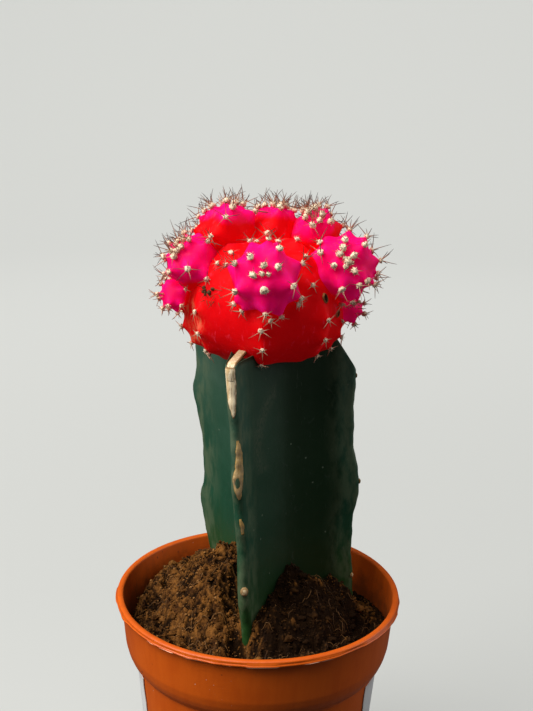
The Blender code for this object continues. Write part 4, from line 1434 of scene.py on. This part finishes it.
def build_tufts(settings):
    """Wool at every areole, and the spines that spread from it."""
    heads = gather_heads()
    rng = random.Random(7)
    wool_points, wool_faces, old_marks, foot_marks = [], [], [], []
    spine_points, spine_faces, tip_marks, dark_marks = [], [], [], []
    seed, seed_faces = ball(3)
    _, stem_high = part_box("rootstock")
    replaced = ["tuft_" + n for n in HEADS]
    for head in heads:
        for direction, size in head.areoles:
            spot, normal = head.place(direction)
            others = [h for h in heads if h is not head]
            if any(h.holds(spot + normal * 0.0006, -0.1) for h in others):
                continue
            if spot.z < stem_high.z - 0.0002 and math.hypot(spot.x, spot.y) < 0.009:
                continue
            outwards = direction.angle(head.axis) if not head.mother else 1.6
            young = ease(1.35, 0.2, outwards) if not head.mother else 0.0
            high = ease(0.108, 0.118, spot.z)
            fullness = 0.82 + 0.22 * young + rng.uniform(-0.1, 0.1)
            width = settings.wool_width / MM * 0.5 * fullness * min(1.1, size ** 1.2)
            if head.mother:
                width *= 0.86
            if head.radius < 3:
                width *= 0.8
            u = normal.orthogonal().normalized()
            spin = rng.uniform(0, 2 * math.pi)
            u = (Matrix.Rotation(spin, 3, normal) @ u).normalized()
            v = normal.cross(u)
            off = Vector((rng.uniform(0, 60), rng.uniform(0, 60), rng.uniform(0, 60)))
            tall = width * (0.62 + 0.25 * young)
            oval = rng.uniform(0.8, 1.0)
            old = 0.75 if head.mother and direction.z < -0.1 else 0.25 * (1 - young)
            first = len(wool_points)
            for b in seed:
                n = Vector(b)
                puff = 1.0 + 0.26 * rumble(n + off, 1.3, 1) + 0.36 * rumble(n + off, 0.5, 3)
                q = u * (b[0] * width * oval * puff) + v * (b[1] * width * puff)
                q += normal * (b[2] * tall * puff + 0.12)
                wool_points.append(spot + q * MM)
                old_marks.append(old)
                foot_marks.append(ease(0.25, -0.35, b[2]))
            add_ball_faces(wool_faces, first, seed_faces)
            # loose curls of wool
            for c in range(9):
                a = rng.uniform(0, 2 * math.pi)
                lean = rng.uniform(0.2, 1.0)
                way = (normal * (1.1 - lean) + (u * math.cos(a) + v * math.sin(a)) * lean).normalized()
                side = way.orthogonal().normalized() * rng.uniform(-1, 1)
                length = width * rng.uniform(0.9, 1.6)
                start = spot + way * (width * 0.45 * MM)
                path = [start + (way * (length * t * 0.75) + side * (length * 0.45 * t * t)) * MM
                        for t in (0.0, 0.35, 0.7, 1.0)]
                first = len(wool_points)
                add_tube(wool_points, wool_faces, path, [0.05 * MM, 0.045 * MM, 0.035 * MM, 0.015 * MM], 3)
                old_marks += [old] * (len(wool_points) - first)
                foot_marks += [0.0] * (len(wool_points) - first)
            # spines
            if size < 0.8 and young > 0.6:
                count = rng.choice((2, 3))
            elif head.mother:
                count = rng.choice((4, 5, 5))
            else:
                count = rng.choice((4, 5, 5, 6))
            base_length = settings.spine_length / MM
            if head.mother:
                base_length *= 0.70
            else:
                base_length *= 0.80 + 0.35 * high + 0.15 * young
            if head.radius < 3:
                base_length *= 0.72
            toward_front = direction.dot(Vector((0.0, -0.8, 0.6)))
            if head.name in ("front", "right") and young > 0.45 and toward_front > 0.72:
                base_length *= 0.42
            down = Vector((0, 0, -1)) - normal * normal.dot(Vector((0, 0, -1)))
            if down.length < 0.2:
                down = u
            down.normalize()
            cross = normal.cross(down)
            for c in range(count):
                a = 2 * math.pi * (c + 0.5) / count + rng.uniform(-0.35, 0.35)
                if head.mother:
                    a = math.radians((0, 62, -62, 118, -118)[c % 5] + rng.uniform(-10, 10))
                lean = rng.uniform(0.62, 0.90) if head.mother else rng.uniform(0.35, 0.80) - 0.12 * young
                around = down * math.cos(a) + cross * math.sin(a)
                way = (normal * (1.0 - lean) + around * lean).normalized()
                length = base_length * rng.uniform(0.62, 1.15)
                bend = around * rng.uniform(-0.10, 0.22) - normal * rng.uniform(-0.05, 0.15)
                bend += cross * rng.uniform(-0.15, 0.15)
                start = spot + normal * (0.15 * MM)
                path, radii = [], []
                for s in range(8):
                    t = s / 7.0
                    path.append(start + (way * (length * t) + bend * (length * t * t)) * MM)
                    radii.append(settings.spine_thickness * 0.5 * (1.0 - t) ** 0.55 + 0.018 * MM)
                first = len(spine_points)
                add_tube(spine_points, spine_faces, path, radii, 6)
                darkness = 0.15 + 0.85 * high * (0.4 + 0.6 * (1 - 0.4 * young)) + rng.uniform(-0.25, 0.25)
                darkness = min(1.0, max(0.0, darkness))
                if head.mother and spot.z < 0.108:
                    darkness = rng.uniform(0.0, 0.35)
                for s in range(8):
                    tip_marks.extend([s / 7.0] * 6)
                    dark_marks.extend([darkness] * 6)
    # erect young spines packed round each crown
    steps = (0.0, 0.2, 0.4, 0.6, 0.8, 1.0)
    for head in heads[1:]:
        if head.name in ("front", "right"):
            continue
        for n in range(settings.crown_spines if head.radius > 4 else settings.crown_spines // 3):
            u = head.axis.orthogonal().normalized()
            v = head.axis.cross(u)
            a = rng.uniform(0, 2 * math.pi)
            polar = rng.uniform(0.05, 0.42)
            direction = (head.axis + (u * math.cos(a) + v * math.sin(a)) * math.tan(polar)).normalized()
            spot, normal = head.place(direction)
            if any(h.holds(spot, -0.1) for h in heads if h is not head):
                continue
            tilt = (u * math.cos(a) + v * math.sin(a)) * rng.uniform(0.0, 0.6)
            stray = Vector((rng.gauss(0, 0.2), rng.gauss(0, 0.2), rng.gauss(0, 0.2)))
            way = (normal * 0.9 + head.axis * 0.5 + tilt + stray).normalized()
            side = way.orthogonal().normalized() * rng.uniform(-0.25, 0.25)
            length = rng.uniform(0.9, 1.9)
            path = [spot + (way * (length * t) + side * (length * t * t)) * MM for t in steps]
            radii = [settings.spine_thickness * 0.5 * (1.0 - t) ** 0.5 + 0.016 * MM for t in steps]
            add_tube(spine_points, spine_faces, path, radii, 5)
            shade = rng.uniform(-0.3, 0.75)
            for t in steps:
                tip_marks.extend([t] * 5)
                dark_marks.extend([max(0.0, shade)] * 5)
    make_piece("areole_wool", wool_points, wool_faces, wool_finish(settings), replaced,
               {"old": old_marks, "foot": foot_marks})
    make_piece("spines", spine_points, spine_faces, spine_finish(settings), replaced,
               {"tip": tip_marks, "dark": dark_marks})


def scar_finish():
    f = Finish("scar crust", Specular_IOR_Level=0.2)
    crust = f.grain(0.4, 5.0, 0.7)
    rim = f.blend((0.50, 0.22, 0.07), (0.30, 0.10, 0.03), crust)
    colour = f.blend(rim, f.blend((0.012, 0.006, 0.004), (0.06, 0.025, 0.012), crust), f.mark("pit"))
    return f.done(colour, 0.85, f.bump(crust, 0.12))


# Scars: bearing, elevation, half width, half height and lean.
SCARS = ((50.0, 8.0, 0.52, 0.88, 12.0), (72.0, -8.0, 0.40, 0.62, -20.0))


def build_marks():
    """Sunken scars on the large head, and dark litter caught under the left offset."""
    mother = gather_heads()[0]
    points, faces, pits = [], [], []
    for bearing, elevation, wide, tall, lean in SCARS:
        spot, normal = mother.place(facing(bearing, elevation))
        up = (Vector((0, 0, 1)) - normal * normal.z).normalized()
        up = Matrix.Rotation(math.radians(lean), 3, normal) @ up
        side = up.cross(normal)
        rings, spokes = 9, 40
        first = len(points)
        points.append(spot + normal * (0.08 * MM))
        pits.append(1.0)
        for r in range(1, rings + 1):
            t = r / rings
            for s in range(spokes):
                a = 2 * math.pi * s / spokes
                rag = 1.0 + 0.13 * rumble((math.cos(a) * 2, math.sin(a) * 2, bearing), 0.9, 3)
                lift = 0.10 + 0.20 * math.exp(-((t - 0.78) / 0.16) ** 2) - (0.55 if r == rings else 0.0)
                lift += 0.04 * rumble((math.cos(a) * t * 3, math.sin(a) * t * 3, bearing), 0.5, 2)
                q = side * (math.cos(a) * wide * t * rag * 1.2) + up * (math.sin(a) * tall * t * rag * 1.2)
                points.append(spot + (q + normal * lift) * MM)
                pits.append(ease(0.80, 0.62, t))
            if r > 1:
                ring_faces(faces, first + 1 + (r - 2) * spokes, first + 1 + (r - 1) * spokes, spokes)
        for s in range(spokes):
            faces.append((first, first + 1 + s, first + 1 + (s + 1) % spokes))
        last = first + 1 + (rings - 1) * spokes
        faces.append(tuple(last + s for s in range(spokes - 1, -1, -1)))
    make_piece("scars", points, faces, scar_finish(), ("scion_head",), {"pit": pits})

    rng = random.Random(19)
    points, faces, pits = [], [], []
    seed, seed_faces = ball(2)
    for n in range(9):
        d = facing(-47 + rng.uniform(-7, 7), 12 + rng.uniform(-4, 4))
        spot, normal = mother.place(d)
        size = rng.uniform(0.18, 0.42)
        off = Vector((n * 3.1, 0, 0))
        first = len(points)
        for b in seed:
            puff = 1.0 + 0.4 * rumble(Vector(b) + off, 0.7, 2)
            points.append(spot + normal * (0.1 * MM) + Vector(b) * (size * puff * MM))
            pits.append(0.8)
        add_ball_faces(faces, first, seed_faces)
    for n in range(16):
        d = facing(-45 + rng.uniform(-9, 8), 10 + rng.uniform(-6, 5))
        spot, normal = mother.place(d)
        way = (normal * 0.35 + Vector((rng.uniform(-1, 1), rng.uniform(-0.3, 0.1),
                                       rng.uniform(-1, 0.5)))).normalized()
        length = rng.uniform(0.8, 1.9)
        path = [spot + (way * (length * t) + normal * 0.15) * MM for t in (0.0, 0.3, 0.6, 1.0)]
        first = len(points)
        add_tube(points, faces, path, [0.07 * MM, 0.06 * MM, 0.045 * MM, 0.02 * MM], 5)
        pits += [rng.uniform(0.5, 1.0)] * (len(points) - first)
    make_piece("caught_litter", points, faces, scar_finish(), ("scion_head",), {"pit": pits})


# ---------------------------------------------------------------- studio

CAMERA_PLACE = (0.0, -0.20323, 0.15629)              # from the middle of the pot's base
CAMERA_PITCH, CAMERA_YAW, CAMERA_ROLL = 16.204, 0.215, 1.1
SENSOR, FOCAL_LENGTH = 36.0, 58.227848


def build_studio(settings):
    """Seamless pale floor and wall, soft lights, and the camera."""
    low, high = [Vector(c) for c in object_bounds()]
    profile = [(0.0, 0.0), (0.15, 0.0), (0.35, 0.0), (0.6, 0.0)]
    for a in range(6, 91, 6):
        turn = math.radians(a)
        profile.append((0.6 + 0.5 * math.sin(turn), 0.5 - 0.5 * math.cos(turn)))
    profile += [(1.1, 0.8), (1.1, 1.2), (1.1, 1.7)]
    spokes = 96
    points = [(0.0, 0.0, low.z)]
    faces = []
    for n, (radius, height) in enumerate(profile[1:]):
        for i in range(spokes):
            p = at_bearing(360.0 * i / spokes, radius)
            points.append((p.x, p.y, low.z + height))
        if n:
            ring_faces(faces, 1 + (n - 1) * spokes, 1 + n * spokes, spokes)
    for i in range(spokes):
        faces.append((0, 1 + i, 1 + (i + 1) % spokes))
    f = Finish("studio paper", Specular_IOR_Level=0.1, Emission_Color=(*settings.backdrop_glow, 1.0),
               Emission_Strength=1.0)
    colour = f.blend(settings.backdrop_colour, [c * 0.96 for c in settings.backdrop_colour],
                     f.grain(400.0, 2.0, 0.4))
    finish = f.done(colour, 0.9, f.bump(f.grain(3.0, 2.0), 0.02, 0.2))
    mesh = bpy.data.meshes.new("studio_sweep")
    mesh.from_pydata(points, [], faces)
    for face in mesh.polygons:
        if face.normal.dot(Vector((0.0, 0.0, low.z + 0.6)) - face.center) < 0:
            face.flip()
    mesh.shade_smooth()
    mesh.materials.append(finish)
    sweep = bpy.data.objects.new("studio_sweep", mesh)
    bpy.context.scene.collection.objects.link(sweep)
    sweep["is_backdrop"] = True
    # the wall is far off in a dim room, so it lends the plant little light of its own
    sweep.visible_diffuse = False
    sweep.visible_glossy = False

    world = bpy.data.worlds.new("studio air")
    world.use_nodes = True
    sky = world.node_tree.nodes["Background"]
    sky.inputs["Color"].default_value = (0.92, 0.96, 1.0, 1.0)
    sky.inputs["Strength"].default_value = settings.air_strength
    bpy.context.scene.world = world

    target = Vector((0.0, 0.0, high.z * 0.55))

    def soft_light(name, bearing, elevation, distance, width, power, aim=target, colour=(1.0, 1.0, 1.0),
                   height=None):
        data = bpy.data.lights.new(name, "AREA")
        data.shape = "RECTANGLE"
        data.size = width
        data.size_y = height or width
        data.energy = power
        data.color = colour
        lamp = bpy.data.objects.new(name, data)
        bpy.context.scene.collection.objects.link(lamp)
        lamp.location = target + facing(bearing, elevation) * distance
        lamp.rotation_euler = (aim - lamp.location).to_track_quat("-Z", "Y").to_euler()
    soft_light("window", -68.0, 38.0, 0.62, 0.42, settings.key_power, colour=(1.0, 0.985, 0.96))
    soft_light("ceiling", -40.0, 70.0, 0.75, 0.55, settings.top_power)
    soft_light("room", 98.0, 16.0, 0.8, 0.5, settings.room_power, height=0.9)
    soft_light("wall_wash", 180.0, 50.0, 0.75, 0.8, settings.wall_power, aim=Vector((0.0, 1.3, 0.15)))

    lens = bpy.data.cameras.new("view")
    lens.sensor_width = SENSOR
    lens.lens = FOCAL_LENGTH
    lens.clip_start = 0.001
    camera = bpy.data.objects.new("view", lens)
    bpy.context.scene.collection.objects.link(camera)
    pitch, yaw, roll = (math.radians(a) for a in (CAMERA_PITCH, CAMERA_YAW, CAMERA_ROLL))
    forward = Vector((math.sin(yaw) * math.cos(pitch), math.cos(yaw) * math.cos(pitch), -math.sin(pitch)))
    right = Vector((math.cos(yaw), -math.sin(yaw), 0.0))
    up = right.cross(forward)
    right_rolled = right * math.cos(roll) + up * math.sin(roll)
    up_rolled = -right * math.sin(roll) + up * math.cos(roll)
    placed = Matrix((right_rolled, up_rolled, -forward)).transposed().to_4x4()
    placed.translation = Vector(CAMERA_PLACE) + Vector((0.0, 0.0, low.z))
    camera.matrix_world = placed
    bpy.context.scene.camera = camera
    bpy.context.scene.view_settings.view_transform = "Standard"


# ---------------------------------------------------------------- add-on

def colour_property(name, description, default):
    return FloatVectorProperty(name=name, description=description, subtype="COLOR", size=3, min=0.0, max=1.0,
                               default=default)


class PotSettings(bpy.types.PropertyGroup):
    """Nursery pot and its label."""
    segments: IntProperty(name="Segments", description="Steps round the pot", default=256, min=48, max=720)
    colour: colour_property("Plastic", "Lit colour of the moulded plastic", (0.66, 0.112, 0.006))
    deep_colour: colour_property("Deep Plastic", "Second tone of the plastic", (0.54, 0.078, 0.003))
    label_colour: colour_property("Label", "Colour of the plain label", (0.82, 0.82, 0.82))


class RootstockSettings(bpy.types.PropertyGroup):
    """Green grafting stem."""
    skin_colour: colour_property("Skin", "Lit green of the stem", (0.016, 0.068, 0.036))
    deep_colour: colour_property("Deep Skin", "Darker green between", (0.010, 0.050, 0.024))
    foot_colour: colour_property("Foot", "Yellower green near the soil", (0.018, 0.060, 0.010))
    wax_colour: colour_property("Wax", "Grey-blue wax on the upper stem", (0.060, 0.112, 0.080))


class SoilSettings(bpy.types.PropertyGroup):
    """Potting mix."""
    crumbs: IntProperty(name="Crumbs", description="Small crumbs scattered on the bed", default=7400, min=0,
                        max=9000)
    clods: IntProperty(name="Clods", description="Larger broken clods", default=210, min=0, max=500)
    fibres: IntProperty(name="Fibres", description="Short curled fibres", default=240, min=0, max=2000)
    dark_colour: colour_property("Damp", "Dark damp mix", (0.030, 0.011, 0.004))
    warm_colour: colour_property("Dry", "Warm dry mix", (0.215, 0.086, 0.018))
    fleck_colour: colour_property("Flecks", "Pale bits of bark and grit", (0.34, 0.165, 0.055))
    fibre_colour: colour_property("Fibre", "Golden coir fibre", (0.17, 0.075, 0.018))


class HeadSettings(bpy.types.PropertyGroup):
    """Flesh of the grafted head and its offsets."""
    tubercle_height: FloatProperty(name="Tubercles", description="How far the tubercles stand out",
                                   default=1.0, min=0.2, max=1.6, subtype="FACTOR")
    red_colour: colour_property("Red", "Bright red flesh", (0.80, 0.002, 0.005))
    deep_red_colour: colour_property("Deep Red", "Flesh low down and in the furrows", (0.64, 0.0015, 0.003))
    pink_colour: colour_property("Pink", "Magenta pink of young growth", (0.93, 0.002, 0.14))
    light_pink_colour: colour_property("Light Pink", "Paler patches of young growth", (0.95, 0.010, 0.22))


class TuftSettings(bpy.types.PropertyGroup):
    """Wool and spines."""
    wool_width: FloatProperty(name="Wool Width", description="Width of a grown areole's wool",
                              default=0.00126, min=0.0003, max=0.003, unit="LENGTH")
    spine_length: FloatProperty(name="Spine Length", description="Length of a grown spine", default=0.0025,
                                min=0.0005, max=0.008, unit="LENGTH")
    crown_spines: IntProperty(name="Crown Spines", description="Erect young spines at each crown",
                              default=20, min=0, max=120)
    spine_thickness: FloatProperty(name="Spine Thickness", description="Thickness of a spine at its foot",
                                   default=0.00014, min=0.00005,
                                   max=0.0006, unit="LENGTH")
    wool_colour: colour_property("Wool", "Cream wool of the areoles", (0.98, 0.84, 0.60))
    wool_shade: colour_property("Wool Shade", "Tan shade inside the wool", (0.82, 0.58, 0.34))
    spine_base_colour: colour_property("Spine Foot", "Foot of a young spine", (0.34, 0.14, 0.08))
    spine_tip_colour: colour_property("Spine Tip", "Tip of a young spine", (0.020, 0.009, 0.008))


class StudioSettings(bpy.types.PropertyGroup):
    """Floor, lights and view."""
    backdrop_colour: colour_property("Backdrop", "Colour of the floor and wall", (0.22, 0.223, 0.213))
    backdrop_glow: colour_property("Backdrop Glow", "Even light of the back-lit wall", (0.42, 0.425, 0.405))
    key_power: FloatProperty(name="Window Power", description="Power of the soft light from the left",
                             default=4.6, min=0.0, max=200.0, unit="POWER")
    top_power: FloatProperty(name="Ceiling Power", description="Power of the light from above", default=3.9,
                             min=0.0, max=200.0, unit="POWER")
    wall_power: FloatProperty(name="Wall Power", description="Power of the light that washes the wall",
                              default=5.0, min=0.0, max=400.0, unit="POWER")
    room_power: FloatProperty(name="Room Power", description="Power of the weak light from the right",
                              default=3.0, min=0.0, max=50.0, unit="POWER")
    air_strength: FloatProperty(name="Air", description="Strength of the even light all round", default=0.06,
                                min=0.0, max=2.0)


class MoonCactusSettings(bpy.types.PropertyGroup):
    """All the settings of the potted moon cactus."""
    pot: PointerProperty(type=PotSettings)
    rootstock: PointerProperty(type=RootstockSettings)
    soil: PointerProperty(type=SoilSettings)
    heads: PointerProperty(type=HeadSettings)
    tufts: PointerProperty(type=TuftSettings)
    studio: PointerProperty(type=StudioSettings)


class CACTUS_OT_pot(bpy.types.Operator):
    """Build the nursery pot"""
    bl_idname = "moon_cactus.pot"
    bl_label = "Build Pot"

    def execute(self, context):
        build_pot(context.scene.moon_cactus.pot)
        return {"FINISHED"}


class CACTUS_OT_label(bpy.types.Operator):
    """Build the plain label on the pot"""
    bl_idname = "moon_cactus.label"
    bl_label = "Build Label"

    def execute(self, context):
        build_label(context.scene.moon_cactus.pot)
        return {"FINISHED"}


class CACTUS_OT_soil(bpy.types.Operator):
    """Build the potting mix with its crumbs and fibres"""
    bl_idname = "moon_cactus.soil"
    bl_label = "Build Potting Mix"

    def execute(self, context):
        build_soil(context.scene.moon_cactus.soil)
        return {"FINISHED"}


class CACTUS_OT_rootstock(bpy.types.Operator):
    """Build the three-winged rootstock with its cork and scars"""
    bl_idname = "moon_cactus.rootstock"
    bl_label = "Build Rootstock"

    def execute(self, context):
        build_rootstock(context.scene.moon_cactus.rootstock)
        build_cork()
        return {"FINISHED"}


class CACTUS_OT_heads(bpy.types.Operator):
    """Build the large red head and its offsets"""
    bl_idname = "moon_cactus.heads"
    bl_label = "Build Heads"

    def execute(self, context):
        build_heads(context.scene.moon_cactus.heads)
        return {"FINISHED"}


class CACTUS_OT_tufts(bpy.types.Operator):
    """Build the wool, the spines, and the marks on the skin"""
    bl_idname = "moon_cactus.tufts"
    bl_label = "Build Wool and Spines"

    def execute(self, context):
        build_tufts(context.scene.moon_cactus.tufts)
        build_marks()
        return {"FINISHED"}


class CACTUS_OT_studio(bpy.types.Operator):
    """Build the floor, the lights and the camera"""
    bl_idname = "moon_cactus.studio"
    bl_label = "Build Studio"

    def execute(self, context):
        build_studio(context.scene.moon_cactus.studio)
        return {"FINISHED"}


class CACTUS_PT_sidebar(bpy.types.Panel):
    """Buttons that build the plant piece by piece"""
    bl_idname = "CACTUS_PT_sidebar"
    bl_label = "Moon Cactus"
    bl_space_type = "VIEW_3D"
    bl_region_type = "UI"
    bl_category = "Moon Cactus"

    def draw(self, context):
        settings = context.scene.moon_cactus
        for operator, group in ((CACTUS_OT_pot, settings.pot), (CACTUS_OT_label, None),
                                (CACTUS_OT_soil, settings.soil),
                                (CACTUS_OT_rootstock, settings.rootstock), (CACTUS_OT_heads, settings.heads),
                                (CACTUS_OT_tufts, settings.tufts), (CACTUS_OT_studio, settings.studio)):
            box = self.layout.box()
            box.operator(operator.bl_idname)
            if group:
                for name in group.bl_rna.properties.keys():
                    if name not in ("rna_type", "name"):
                        box.prop(group, name)


CLASSES = (
    PotSettings, RootstockSettings, SoilSettings, HeadSettings, TuftSettings, StudioSettings,
    MoonCactusSettings,
    CACTUS_OT_pot, CACTUS_OT_label, CACTUS_OT_soil, CACTUS_OT_rootstock, CACTUS_OT_heads, CACTUS_OT_tufts,
    CACTUS_OT_studio, CACTUS_PT_sidebar,
)


def register():
    for cls in CLASSES:
        bpy.utils.register_class(cls)
    bpy.types.Scene.moon_cactus = PointerProperty(type=MoonCactusSettings)


def unregister():
    del bpy.types.Scene.moon_cactus
    for cls in reversed(CLASSES):
        bpy.utils.unregister_class(cls)


def main():
    register()
    bpy.ops.moon_cactus.pot()
    bpy.ops.moon_cactus.label()
    bpy.ops.moon_cactus.soil()
    bpy.ops.moon_cactus.rootstock()
    bpy.ops.moon_cactus.heads()
    bpy.ops.moon_cactus.tufts()
    bpy.ops.moon_cactus.studio()


if __name__ == "__main__":
    main()
